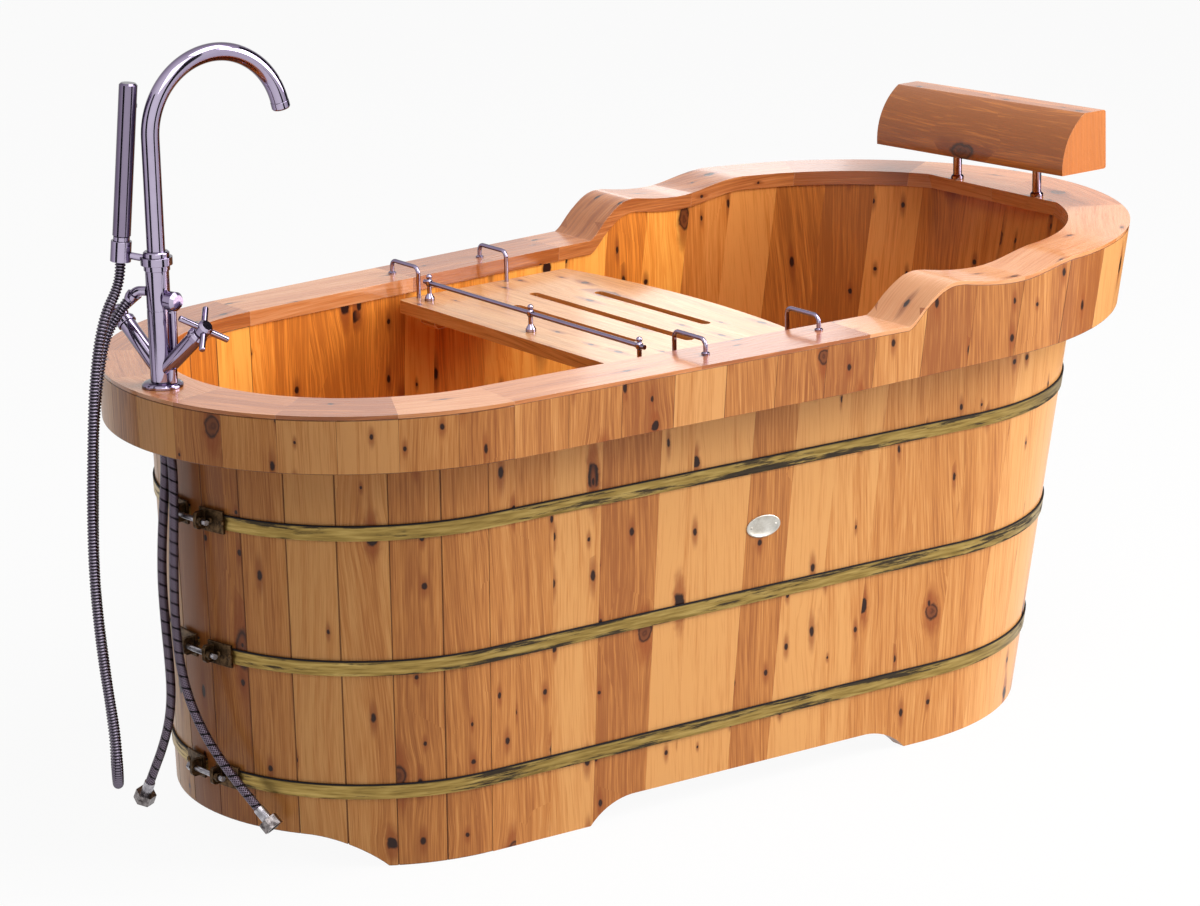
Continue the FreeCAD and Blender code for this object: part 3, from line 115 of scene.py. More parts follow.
# Name, degrees round the tap from the camera's side, and half the width of each dark flag, which
# only reflections show
FLAGS = (("Flag_left", -52, 0.55), ("Flag_right", 47, 0.4), ("Flag_back", 118, 0.8))
FLAG_AWAY, FLAG_HEIGHT = 2.6, 3


def linear(code):
    """A hex colour as it looks on a screen, turned to the linear values that a shader wants."""
    parts = [int(code[i:i + 2], 16) / 255 for i in (1, 3, 5)]
    return (*(c / 12.92 if c <= 0.04045 else ((c + 0.055) / 1.055) ** 2.4 for c in parts), 1.0)


def feed(tree, node, inputs):
    """Sets or links a node's inputs. A node given as a value means its first live output."""
    for key, value in (inputs.items() if isinstance(inputs, dict) else enumerate(inputs)):
        if isinstance(value, bpy.types.Node):
            value = next(socket for socket in value.outputs if socket.enabled)
        if isinstance(value, bpy.types.NodeSocket):
            tree.links.new(value, node.inputs[key])
        else:
            node.inputs[key].default_value = value


def add(tree, kind, inputs=(), operation=None, stops=(), **settings):
    """Adds one node with its settings, its inputs and the colours of its ramp."""
    node = tree.nodes.new(kind)
    if operation:
        node.operation = operation
    for name, value in settings.items():
        setattr(node, name, value)
    feed(tree, node, inputs)
    for _ in stops[2:]:
        node.color_ramp.elements.new(1.0)
    for i, (place, code) in enumerate(stops):
        node.color_ramp.elements[i].position = place
        node.color_ramp.elements[i].color = linear(code)
    return node


def start_finish(name):
    """A new material, its tree, its shader and a short way to add nodes to it."""
    finish = bpy.data.materials.new(name)
    finish.use_nodes = True
    tree = finish.node_tree
    return finish, tree, tree.nodes["Principled BSDF"], partial(add, tree)


# Finishes

MATH = "ShaderNodeMath"
VECTORS = "ShaderNodeVectorMath"
NOISE = "ShaderNodeTexNoise"
RAMP = "ShaderNodeValToRGB"
MIX = "ShaderNodeMix"
RANGE = "ShaderNodeMapRange"
MARK = "ShaderNodeAttribute"
BUMP = "ShaderNodeBump"
# The setting of a range that starts and ends softly
EASED = {"interpolation_type": "SMOOTHSTEP"}

# Smallest and largest radius of the knots, and how ragged they are, in metres. The pin knots
# have their own spacing, and a share of the cells that holds one.
BIG_KNOTS = (0.0045, 0.0115, 0.010)
PIN_KNOTS = ((0.050, 0.085), 0.42, 0.0016, 0.0040, 0.0018)


def knots_in(new, grain, spread, share, smallest, largest, ragged):
    """Knots scattered over the boards, at most one in each cell. Gives how many of its radii
    away the nearest one is, the same measured into its long tails, its sideways offset, and a
    random number of its own."""
    cell = new(VECTORS, (grain, (1 / spread[0], 1 / spread[1], 1)), "MULTIPLY")
    spots = new("ShaderNodeTexVoronoi", {"Vector": cell, "Scale": 1.0, "Randomness": 0.8},
                voronoi_dimensions="2D")
    away = new(VECTORS, (cell, spots.outputs["Position"]), "SUBTRACT")
    away = new(VECTORS, (away, (*spread, 0)), "MULTIPLY")
    rough = new(NOISE, {"Vector": grain, "Scale": 0.6 / largest, "Detail": 3.0},
                noise_dimensions="2D")
    rough = new(VECTORS, (rough.outputs["Color"], (0.5, 0.5, 0.5)), "SUBTRACT")
    rough = new(VECTORS, {0: rough, "Scale": ragged}, "SCALE")
    away = new("ShaderNodeSeparateXYZ", (new(VECTORS, (away, rough), "ADD"),))
    dice = new("ShaderNodeSeparateColor", (spots.outputs["Color"],))
    slim = new(RANGE, {"Value": dice.outputs["Blue"], "To Min": 0.4, "To Max": 0.95})
    along = new(MATH, (away.outputs["Y"], slim), "MULTIPLY")
    square = new(MATH, (away.outputs["X"], away.outputs["X"]), "MULTIPLY")
    tail = new(MATH, (along, 0.42), "MULTIPLY")
    size = new(RANGE, {"Value": dice.outputs["Green"], "To Min": smallest, "To Max": largest})
    # A cell without a knot has it a hundred radii away
    there = new(MATH, (dice.outputs["Red"], share), "LESS_THAN")
    far = new(MATH, (new(MATH, (1.0, there), "SUBTRACT"), 100.0), "MULTIPLY")
    radii = []
    for part in (along, tail):
        reach = new(MATH, (part, part, square), "MULTIPLY_ADD")
        near = new(MATH, (new(MATH, (reach,), "SQRT"), size), "DIVIDE")
        radii.append(new(MATH, (near, far), "ADD"))
    return (*radii, away.outputs["X"], dice.outputs["Green"])


def varnished_wood(name, tones, inner, arris, spread, share, gloss, coat):
    """Sawn knotty cedar under clear varnish. The grain runs along each board and bends round big
    ringed knots, with small black pin knots between them. The inner faces take their own
    tones, partly the varnish's amber and partly painted light and shade inside the tub."""
    finish, tree, shader, new = start_finish(name)
    grain = new("ShaderNodeUVMap", uv_map="Grain")
    tint, sawn_end, inside, rounded = (
        new(MARK, attribute_name=mark).outputs["Fac"]
        for mark in ("tint", "end_grain", "inside", "arris"))
    near, near_tail, beside, pick = knots_in(new, grain, spread, share, *BIG_KNOTS)
    pin, pin_tail, _, _ = knots_in(new, grain, *PIN_KNOTS)
    # The grain gives way beside a knot, and wanders a little along the board
    bend = new(MATH, (0.62, near), "POWER")
    flat = new("ShaderNodeSeparateXYZ", (grain,))
    slow = new(VECTORS, (grain, (1.0, 0.4, 1.0)), "MULTIPLY")
    drift = new(NOISE, {"Vector": slow, "Scale": 4.0, "Detail": 1.0}, noise_dimensions="2D")
    drift = new(MATH, (drift, 0.045, flat.outputs["X"]), "MULTIPLY_ADD")
    given = new(MATH, (beside, bend), "MULTIPLY")
    width = new(MATH, (drift, given), "SUBTRACT")
    run = new(MATH, (flat.outputs["Y"], 0.022), "MULTIPLY")
    own = new(MATH, (tint, 7.0), "MULTIPLY")
    line = new("ShaderNodeCombineXYZ", (width, run, own))
    # Bands about 25 mm wide, year rings about 4 mm apart and fibres drawn coarser than the real
    # 0.1 mm, so they show
    bands = new(NOISE, {"Vector": line, "Scale": 40.0, "Detail": 1.0})
    rings = new(NOISE, {"Vector": line, "Scale": 260.0, "Detail": 3.0, "Roughness": 0.65})
    fibre = new(NOISE, {"Vector": line, "Scale": 900.0, "Detail": 2.0})
    shade = new(MATH, (bands, 0.24), "MULTIPLY")
    shade = new(MATH, (rings, 0.42, shade), "MULTIPLY_ADD")
    shade = new(MATH, (fibre, 0.34, shade), "MULTIPLY_ADD")
    uneven = new(MATH, (tint, 0.5), "SUBTRACT")
    shade = new(MATH, (uneven, 0.3, shade), "MULTIPLY_ADD")
    # The inner faces' tones are partly painted light and shade
    outer, inner_shading = (new(RAMP, (shade,), stops=list(zip((0.36, 0.5, 0.64), colours)))
                  for colours in (tones, inner))
    colour = new(MIX, {"Factor": inside, "A": outer, "B": inner_shading}, data_type="RGBA")
    # A knot's heart is brown and ringed when it is alive, and nearly black when it is dead
    turned = new(MATH, (rings, 5.0), "MULTIPLY")
    turned = new(MATH, (near, 9.0, turned), "MULTIPLY_ADD")
    alive = new(MATH, (new(MATH, (turned,), "SINE"), 0.3, 0.5), "MULTIPLY_ADD")
    alive = new(RAMP, (alive,), stops=[(0.0, "#4d2410"), (1.0, "#7c421f")])
    dead = new(MATH, (pick, 0.55), "LESS_THAN")
    heart = new(MIX, {"Factor": dead, "A": alive, "B": linear("#2a120a")}, data_type="RGBA")
    rim = new(RANGE, {"Value": near, "From Min": 0.72, "From Max": 0.98}, **EASED)
    heart = new(MIX, {"Factor": rim, "A": heart, "B": linear("#29120a")}, data_type="RGBA")
    # The halo and the core of a big knot, then those of a pin knot
    covers = []
    for radius, start, end, most, stain in (
            (near_tail, 0.7, 1.9, 0.75, linear("#8c4318")), (near, 0.86, 1.25, 1.0, heart),
            (pin_tail, 0.6, 2.4, 0.7, linear("#8a451c")), (pin, 0.7, 1.3, 1.0, linear("#2e140a"))):
        cover = new(RANGE, {"Value": radius, "From Min": start, "From Max": end, "To Min": most,
                            "To Max": 0.0}, **EASED)
        colour = new(MIX, {"Factor": cover, "A": colour, "B": stain}, data_type="RGBA")
        covers.append(cover)
    # Sawn ends drink the varnish and go darker, with the year rings seen end on
    sawn = new(MIX, {"Factor": new(MATH, (rings, 0.5), "MULTIPLY"),
                     "A": linear(tones[2]), "B": linear(tones[1])}, data_type="RGBA")
    colour = new(MIX, {"Factor": sawn_end, "A": colour, "B": sawn}, data_type="RGBA")
    # Edges take their own colour: dark joints, or pale edges that are partly wear and partly
    # painted highlight
    edge = new(MATH, (rounded, 0.6), "MULTIPLY")
    colour = new(MIX, {"Factor": edge, "A": colour, "B": linear(arris)}, data_type="RGBA")
    rough = new(MATH, (fibre, 0.16, gloss), "MULTIPLY_ADD")
    sunk = new(MATH, (covers[1], covers[3]), "ADD")
    relief = new(MATH, (rings, sunk), "SUBTRACT")
    bump = new(BUMP, {"Height": relief, "Strength": 0.3, "Distance": 0.0005})
    feed(tree, shader, {
        "Base Color": colour, "Roughness": rough, "Normal": bump, "IOR": 1.5,
        "Specular IOR Level": 0.2 + 0.4 * coat, "Coat Weight": coat, "Coat Roughness": 0.12})
    return finish


def hoop_strip(name):
    """Rolled brass strip left in water. It is olive gold, stained black in streaks along the
    strip, with a painted shadow along its upper edge."""
    finish, tree, shader, new = start_finish(name)
    place = new("ShaderNodeTexCoord").outputs["Object"]
    long = new("ShaderNodeMapping", {"Vector": place, "Scale": (1.0, 1.0, 13.0)})
    high = new(MARK, attribute_name="height").outputs["Fac"]
    stain = new(NOISE, {"Vector": long, "Scale": 8.0, "Detail": 8.0, "Roughness": 0.68})
    rubbed = new(NOISE, {"Vector": long, "Scale": 22.0, "Detail": 3.0, "Roughness": 0.5})
    metal = new(RAMP, (rubbed,), stops=[(0.3, "#7d6533"), (0.5, "#9e8346"), (0.72, "#bb9f5e")])
    away = new(MATH, (high, 0.5), "SUBTRACT")
    away = new(MATH, (away,), "ABSOLUTE")
    spread = new(MATH, (away, 0.16, stain), "MULTIPLY_ADD")
    black = new(RANGE, {"Value": spread, "From Min": 0.55, "From Max": 0.64, "To Max": 0.9},
                **EASED)
    # Painted shadow: the strip goes near black along its upper edge
    top = new(RANGE, {"Value": high, "From Min": 0.84, "From Max": 0.94}, **EASED)
    # The stains and the painted shadow share the same near black
    stain_and_top_shadow = new(MATH, (black, top), "MAXIMUM")
    colour = new(MIX, {"Factor": stain_and_top_shadow, "A": metal, "B": linear("#232024")}, data_type="RGBA")
    rough = new(RANGE, {"Value": stain_and_top_shadow, "To Min": 0.36, "To Max": 0.7})
    bump = new(BUMP, {"Height": rubbed, "Strength": 0.3, "Distance": 0.0004})
    feed(tree, shader, {"Base Color": colour, "Roughness": rough, "Normal": bump, "Metallic": 0.85})
    return finish


def worn_metal(name, pale, dark, rough, spot, relief):
    """Metal with a wear pattern: pale where it is rubbed and dark where it has dulled."""
    finish, tree, shader, new = start_finish(name)
    place = new("ShaderNodeTexCoord").outputs["Object"]
    blotch = new(NOISE, {"Vector": place, "Scale": 1 / spot, "Detail": 5.0, "Roughness": 0.65})
    fine = new(NOISE, {"Vector": place, "Scale": 900.0, "Detail": 2.0})
    mixed = new(MATH, (blotch, 0.75), "MULTIPLY")
    mixed = new(MATH, (fine, 0.25, mixed), "MULTIPLY_ADD")
    colour = new(RAMP, (mixed,), stops=[(0.36, dark), (0.64, pale)])
    dull = new(RANGE, {"Value": mixed, "From Min": 0.3, "From Max": 0.7, "To Min": rough[1],
                       "To Max": rough[0]})
    bump = new(BUMP, {"Height": mixed, "Strength": 0.3, "Distance": relief})
    feed(tree, shader, {"Base Color": colour, "Roughness": dull, "Normal": bump, "Metallic": 1.0})
    return finish


def chrome_plate(name, stops, rough):
    """Chrome plate on brass. A painted reflection: darker and bluer where the surface turns away.
    The grooves of a ringed hose are painted dark, as shade."""
    finish, tree, shader, new = start_finish(name)
    place = new("ShaderNodeTexCoord").outputs["Object"]
    film = new(NOISE, {"Vector": place, "Scale": 60.0, "Detail": 3.0})
    # The colour follows the angle to the view, a painted reflection that darkens towards the edges
    turn = new("ShaderNodeLayerWeight", {"Blend": 0.5}).outputs["Facing"]
    haze = new(MATH, (film, 0.5), "SUBTRACT")
    painted_reflection = new(RAMP, (new(MATH, (haze, 0.1, turn), "MULTIPLY_ADD"),), stops=stops)
    # Painted shade: the hose's grooves go near black
    groove = new(MARK, attribute_name="groove").outputs["Fac"]
    colour = new(MIX, {"Factor": groove, "A": painted_reflection, "B": linear("#141116")}, data_type="RGBA")
    dull = new(MATH, (film, 0.05, rough), "MULTIPLY_ADD")
    feed(tree, shader, {"Base Color": colour, "Roughness": dull, "Metallic": 1.0})
    return finish


def wire_braid(name):
    """Stainless wire plaited round a hose, dulled purple grey, with one black tracer thread
    wound along it."""
    finish, tree, shader, new = start_finish(name)
    along, turn_x, turn_y = (new(MARK, attribute_name=mark).outputs["Fac"]
                             for mark in ("along", "turn_x", "turn_y"))
    angle = new(MATH, (turn_y, turn_x), "ARCTAN2")
    # Strands about 1 mm wide, which cross every 3.5 mm along the hose
    lap = new(MATH, (along, math.tau / 0.0035), "MULTIPLY")
    one, two = (new(MATH, (new(MATH, (angle, strands, lap), "MULTIPLY_ADD"),), "SINE")
                for strands in (8.0, -8.0))
    top = new(MATH, (one, two), "MAXIMUM")
    colour = new(RAMP, (top,), stops=[(0.0, "#2b212a"), (0.5, "#5a4c5b"), (1.0, "#857888")])
    # The tracer shows as a short dark dash at each of its turns, about 16 mm apart
    wound = new(MATH, (along, 1 / 0.016), "MULTIPLY")
    wound = new(MATH, (angle, 1 / math.tau, wound), "MULTIPLY_ADD")
    dash = new(MATH, (new(MATH, (wound,), "FRACT"), 0.17), "LESS_THAN")
    colour = new(MIX, {"Factor": dash, "A": colour, "B": linear("#0f0a0e")}, data_type="RGBA")
    bump = new(BUMP, {"Height": top, "Strength": 0.6, "Distance": 0.0004})
    feed(tree, shader, {"Base Color": colour, "Normal": bump, "Metallic": 0.8, "Roughness": 0.4})
    return finish


def moulded(name, code, lighter, rough, grit):
    """Moulded rubber or plastic with a fine matt grit."""
    finish, tree, shader, new = start_finish(name)
    place = new("ShaderNodeTexCoord").outputs["Object"]
    speck = new(NOISE, {"Vector": place, "Scale": 1 / grit, "Detail": 2.0})
    colour = new(RAMP, (speck,), stops=[(0.35, code), (0.65, lighter)])
    bump = new(BUMP, {"Height": speck, "Strength": 0.3, "Distance": 0.0002})
    feed(tree, shader, {"Base Color": colour, "Normal": bump, "Roughness": rough})
    return finish


# Pale, middle and dark tones of each wood, the colour of joints, and the pale of edges, partly wear
# and partly painted highlight
STAVES = ("#d4995a", "#bf7d40", "#9b5b2b")
# Inner tones: partly the varnish's amber, partly painted light inside the tub
AMBER_AND_INNER_LIGHT = ("#fcb050", "#ec9036", "#c06c26")
# Painted shade: the head end's inner faces, darker and browner
HEAD_INNER_SHADE = ("#e0934a", "#c97832", "#a05a24")
RIM = ("#dd9b69", "#c97c44", "#a15828")
APRON = ("#d2965a", "#bb7a40", "#95562a")
FLOOR = ("#eaa65c", "#c98240", "#96531f")
HEADREST = ("#f8ae5a", "#de883e", "#a65e28")
TRAY = ("#e8b376", "#d4914e", "#ab692e")
SEAM, EDGE_WEAR_AND_HIGHLIGHT = "#4a2410", "#fbe6cc"

CHROME = "polished_chrome"

# Each wood's tones outside and inside, the colour of its edges, the spacing of its knots across
# and along, the share of places with a knot, its roughness and its coat
WOODS = {
    # Knotty cedar, honey coloured outside, with a dark line in each joint
    "cedar_staves": (STAVES, AMBER_AND_INNER_LIGHT, SEAM, (0.10, 0.19), 0.42, 0.26, 0.08),
    # The same staves at the head end, darker and browner inside as painted shade
    "cedar_head_staves": (STAVES, HEAD_INNER_SHADE, SEAM, (0.10, 0.19), 0.42, 0.26, 0.08),
    # Wide planks sawn flat, the palest wood, nearly pink on top, pale along its edges from wear and
    # a painted highlight
    "cedar_rim": (RIM, RIM, EDGE_WEAR_AND_HIGHLIGHT, (0.16, 0.3), 0.2, 0.2, 0.35),
    # Upright boards under the rim, a little browner than the staves
    "cedar_apron": (APRON, APRON, SEAM, (0.10, 0.16), 0.35, 0.26, 0.06),
    "cedar_floor": (FLOOR, FLOOR, SEAM, (0.10, 0.2), 0.4, 0.3, 0.1),
    # One solid block with the grain along it, orange brown and well varnished
    "cedar_headrest": (HEADREST, HEADREST, EDGE_WEAR_AND_HIGHLIGHT, (0.11, 0.14), 0.5, 0.2, 0.25),
    # A single pale plank across the tub
    "cedar_tray": (TRAY, TRAY, EDGE_WEAR_AND_HIGHLIGHT, (0.14, 0.24), 0.25, 0.22, 0.4),
}
# How each other finish is made. Worn metal has its pale and dark tone, its least and most
# roughness, the size of its blotches and their height.
OTHERS = {
    "aged_brass": (hoop_strip,),
    # Clamps blackened by water, with brown metal where hands have been
    "dark_bronze": (worn_metal, "#6d543a", "#1f1710", (0.34, 0.6), 0.006, 0.0003),
    "fixing_steel": (worn_metal, "#c4c1c6", "#7b777e", (0.22, 0.42), 0.008, 0.0001),
    # Nickel over brass on the hoses' nuts, scuffed by the spanner
    "nickel_plate": (worn_metal, "#9b9494", "#383132", (0.2, 0.4), 0.006, 0.0001),
    # The oval plate is thin pressed sheet, satin and pale
    "pressed_nickel": (worn_metal, "#dcd8d0", "#b3aca0", (0.3, 0.42), 0.02, 0.00002),
    # Chrome's tones run from face on to edge on, the colours of a painted reflection
    CHROME: (chrome_plate, [(0.0, "#bfb4cc"), (0.3, "#9487a2"), (0.62, "#574963"),
                            (0.86, "#1a1221")], 0.05),
    # The same plate on the wand, a little duller from hands, with a darker painted reflection
    "wand_chrome": (chrome_plate, [(0.0, "#94889f"), (0.35, "#6c5f78"), (0.7, "#382c42"),
                                   (0.9, "#160f1b")], 0.07),
    "hose_chrome": (chrome_plate, [(0.0, "#9a90a1"), (0.4, "#675d6e"), (0.8, "#1d1820")], 0.16),
    "braided_wire": (wire_braid,),
    "seal_rubber": (moulded, "#161515", "#2a2828", 0.75, 0.0012),
    "spray_plastic": (moulded, "#3a393d", "#56555a", 0.5, 0.0008),
}


@cache
def finish_named(name):
    """Each finish is made once, when the first piece asks for it."""
    maker, *values = OTHERS[name] if name in OTHERS else (varnished_wood, *WOODS[name])
    return maker(name, *values)


# Shapes

def outward(place):
    """Level direction from the tub's middle line out through the wall at a place."""
    centre = min(max(place.x, TAP_CENTRE), HEAD_CENTRE)
    way = Vector((place.x - centre, place.y, 0))
    return way.normalized() if way.length > 1e-6 else Vector((0, 1, 0))


def board_lines(kind, place):
    """Directions along the grain, across the face and out of the face, for a board at a place."""
    if kind == "upright":
        face = outward(place)
        return UP, UP.cross(face), face
    if kind == "round":
        across = outward(place)
        return UP.cross(across), across, UP
    if kind == "lengthways":
        return Vector((1, 0, 0)), Vector((0, 1, 0)), UP
    return Vector((0, 1, 0)), Vector((1, 0, 0)), UP


def solids_of(mesh):
    """A node's triangles in one list for each solid. A solid is whole when each of its edges has
    met its neighbour, so boards that touch stay apart."""
    solids, solid, waiting = [], [], set()
    for polygon in mesh.polygons:
        triangle = [tuple(round(number, 6) for number in mesh.vertices[i].co)
                    for i in polygon.vertices]
        solid.append(triangle)
        for edge in zip(triangle, triangle[1:] + triangle[:1]):
            if edge[::-1] in waiting:
                waiting.remove(edge[::-1])
            elif edge[0] != edge[1]:
                waiting.add(edge)
        if not waiting:
            solids.append(solid)
            solid = []
    return solids + ([solid] if solid else [])


def mesh_from(work, name):
    """A mesh from an edited shape, which is then let go."""
    mesh = bpy.data.meshes.new(name)
    work.to_mesh(mesh)
    work.free()
    return mesh


def cleaned(node, crease):
    """A copy of a node's mesh with each solid's corners merged, its flat faces joined and its
    sharp edges marked."""
    work = bmesh.new()
    for solid in solids_of(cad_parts[node].data):
        corners = {place: work.verts.new(place) for triangle in solid for place in triangle}
        for triangle in solid:
            points = [corners[place] for place in triangle]
            if len(set(points)) == 3 and work.faces.get(points) is None:
                work.faces.new(points)
    bmesh.ops.dissolve_limit(work, angle_limit=math.radians(0.6), verts=work.verts,
                             edges=work.edges)
    for face in work.faces:
        face.smooth = True
    for edge in work.edges:
        edge.smooth = edge.is_manifold and edge.calc_face_angle(0) < math.radians(crease)
    return mesh_from(work, node + "_finished")


def stood(name, data):
    """A new object in the scene."""
    item = bpy.data.objects.new(name, data)
    bpy.context.scene.collection.objects.link(item)
    return item


def put(name, mesh, finish):
    """A new piece with one finish."""
    mesh.materials.clear()
    mesh.materials.append(finish_named(finish))
    return stood(name, mesh)


def result_of(item):
    """The mesh that an object has once its modifiers are done."""
    bpy.context.view_layer.update()
    graph = bpy.context.evaluated_depsgraph_get()
    return bpy.data.meshes.new_from_object(item.evaluated_get(graph))


def settled(piece):
    """Turns a piece with modifiers into its plain mesh."""
    mesh = result_of(piece)
    piece.modifiers.clear()
    piece.data = mesh
    return piece


def stand_for(piece, node, body):
    """Makes a piece ride on a body in a node's place."""
    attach(piece, body)
    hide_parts(node)
    return piece


def islands(mesh):
    """For each face, the number of the loose part it belongs to."""
    parent = list(range(len(mesh.vertices)))

    def root(i):
        while parent[i] != i:
            parent[i] = parent[parent[i]]
            i = parent[i]
        return i

    for edge in mesh.edges:
        parent[root(edge.vertices[0])] = root(edge.vertices[1])
    order = {}
    return [order.setdefault(root(face.vertices[0]), len(order)) for face in mesh.polygons]


def lay_grain(mesh, kind, seed):
    """Gives each board its own grain map and tint, and marks its sawn ends, its inner face and
    its rounded edges."""
    owners = islands(mesh)
    sums, areas = {}, {}
    for polygon, owner in zip(mesh.polygons, owners):
        sums[owner] = sums.get(owner, Vector()) + polygon.center * polygon.area
        areas[owner] = areas.get(owner, 0.0) + polygon.area
    dice = random.Random(seed)
    boards = {}
    for owner in sums:
        lines = board_lines(kind, sums[owner] / areas[owner])
        boards[owner] = (*lines, dice.random(), dice.random() * 9, dice.random() * 9)
    grain = mesh.uv_layers.new(name="Grain")
    rows = []
    for polygon, owner in zip(mesh.polygons, owners):
        along, across, face, shade, shift_u, shift_v = boards[owner]
        normal = polygon.normal
        best = max((abs(normal.dot(face)), "face"), (abs(normal.dot(across)), "side"),
                   (abs(normal.dot(along)), "end"))[1]
        first, second = {"face": (across, along), "side": (face, along),
                         "end": (across, face)}[best]
        for loop in polygon.loop_indices:
            place = mesh.vertices[mesh.loops[loop].vertex_index].co
            grain.data[loop].uv = (place.dot(first) + shift_u, place.dot(second) + shift_v)
        # Inner faces, which take the inner tones of painted light and shade
        inner_shading = kind == "upright" and normal.dot(face) < -0.5
        rows.append((shade, float(best == "end"), float(inner_shading), float(polygon.material_index)))
    for name, values in zip(("tint", "end_grain", "inside", "arris"), zip(*rows)):
        mesh.attributes.new(name, "FLOAT", "FACE").data.foreach_set("value", values)


def dress(node, finish, body, round_over=0.0, kind=None, seed=0, crease=METAL_CREASE):
    """A finished piece on a node: its edges rounded over, its grain laid if it is a kind of
    board, and the node hidden behind it."""
    piece = put(node + "_finished", cleaned(node, WOOD_CREASE if kind else crease), finish)
    if round_over > 0:
        # The rounded faces take the second slot, so they can be told from the flat ones
        piece.data.materials.append(finish_named(finish))
        bevel = piece.modifiers.new("Rounded edges", "BEVEL")
        bevel.width = round_over
        bevel.segments = 2
        bevel.limit_method = "ANGLE"
        bevel.angle_limit = math.radians(40)
        bevel.material = 1
        settled(piece)
    if kind:
        lay_grain(piece.data, kind, seed)
    if len(piece.data.materials) > 1:
        piece.data.polygons.foreach_set("material_index", [0] * len(piece.data.polygons))
        piece.data.materials.pop()
    return stand_for(piece, node, body)


def dress_each(node, finish, round_over):
    """Dresses a node of like pieces as one finished piece for each supply hose, by the route
    that each piece is nearest."""
    whole = dress(node, finish, "tub", round_over)
    owners = islands(whole.data)
    middles = {}
    for polygon, owner in zip(whole.data.polygons, owners):
        middles.setdefault(owner, []).append(polygon.center)
    nearest = {}
    for owner, centres in middles.items():
        middle = sum(centres, Vector()) / len(centres)
        gaps = {side: min((Vector(place) - middle).length for place in route)
                for side, route in SUPPLY_ROUTES.items()}
        nearest[owner] = min(gaps, key=gaps.get)
    shares = {}
    for side in SUPPLY_ROUTES:
        work = bmesh.new()
        work.from_mesh(whole.data)
        work.faces.ensure_lookup_table()
        unwanted = [face for face, owner in zip(work.faces, owners) if nearest[owner] != side]
        bmesh.ops.delete(work, geom=unwanted, context="FACES")
        name = node + "_" + side
        shares[side] = stand_for(put(name, mesh_from(work, name), finish), node, "tub")
    bpy.data.objects.remove(whole)
    return shares


def new_tree(name, numbers):
    """A node group with a shape in and out, numbers and a finish, and a way to add nodes."""
    tree = bpy.data.node_groups.new(name, "GeometryNodeTree")
    socket = tree.interface.new_socket
    socket("Shape", in_out="INPUT", socket_type="NodeSocketGeometry")
    for label, value in numbers.items():
        socket(label, in_out="INPUT", socket_type="NodeSocketFloat").default_value = value
    socket("Finish", in_out="INPUT", socket_type="NodeSocketMaterial")
    socket("Shape", in_out="OUTPUT", socket_type="NodeSocketGeometry")
    return tree, tree.nodes.new("NodeGroupInput").outputs, partial(add, tree)


def close_tree(tree, given, shape):
    """Ends a tree: the shape is smoothed, made real, given its finish and handed out."""
    smooth = add(tree, "GeometryNodeSetShadeSmooth", {"Geometry": shape})
    solid = add(tree, "GeometryNodeRealizeInstances", {"Geometry": smooth})
    painted = add(tree, "GeometryNodeSetMaterial", {"Geometry": solid, "Material": given["Finish"]})
    add(tree, "NodeGroupOutput", (painted,))
    return tree


def hose_tree():
    """A tube along a line of points, with rings pressed into it at an even pitch."""
    tree, given, new = new_tree(
        "Hose along a line", {"Radius": 0.007, "Pitch": 0.004, "Depth": 0.2, "Step": 0.001})
    line = new("GeometryNodeMeshToCurve", {"Mesh": given["Shape"]})
    line = new("GeometryNodeResampleCurve", {"Curve": line, "Length": given["Step"]}, mode="LENGTH")
    length = new("GeometryNodeSplineParameter").outputs["Length"]
    laps = new(MATH, (length, given["Pitch"]), "DIVIDE")
    wave = new(MATH, (new(MATH, (laps, math.tau), "MULTIPLY"),), "COSINE")
    dip = new(MATH, (wave, -0.5, 0.5), "MULTIPLY_ADD")
    dip = new(MATH, (dip, given["Depth"]), "MULTIPLY")
    waist = new(MATH, (1.0, dip), "SUBTRACT")
    depth = new(MATH, (given["Depth"], 0.001), "MAXIMUM")
    # How deep the groove is at each point, kept to paint shade into the grooves
    groove = new(MATH, (dip, depth), "DIVIDE")
    circle = new("GeometryNodeCurvePrimitiveCircle", {"Resolution": 20, "Radius": given["Radius"]})
    spot = new("ShaderNodeSeparateXYZ", (new("GeometryNodeInputPosition"),)).outputs
    # Where each point lies along and round the hose, for the patterns on it, and how deep its
    # groove is, for the painted shade
    marked = []
    for shape, marks in ((line, {"along": length, "groove": groove}),
                         (circle, {"turn_x": spot["X"], "turn_y": spot["Y"]})):
        for name, value in marks.items():
            shape = new("GeometryNodeStoreNamedAttribute",
                        {"Geometry": shape, "Name": name, "Value": value})
        marked.append(shape)
    tube = new("GeometryNodeCurveToMesh", {"Curve": marked[0], "Profile Curve": marked[1],
                                           "Scale": waist, "Fill Caps": True})
    return close_tree(tree, given, tube)


def stud_tree():
    """A domed head on each point, turned to the point's own direction."""
    tree, given, new = new_tree("Domed heads", {"Radius": 0.0035, "Rise": 0.6})
    ball = new("GeometryNodeMeshUVSphere", {"Segments": 20, "Rings": 10, "Radius": given["Radius"]})
    tall = new("ShaderNodeCombineXYZ", (1.0, 1.0, given["Rise"]))
    dome = new("GeometryNodeTransform", {"Geometry": ball.outputs["Mesh"], "Scale": tall})
    way = new("GeometryNodeInputNamedAttribute", {"Name": "way"}, data_type="FLOAT_VECTOR")
    turn = new("FunctionNodeAlignRotationToVector", {"Vector": way}, axis="Z")
    heads = new("GeometryNodeInstanceOnPoints",
                {"Points": given["Shape"], "Instance": dome, "Rotation": turn})
    return close_tree(tree, given, heads)


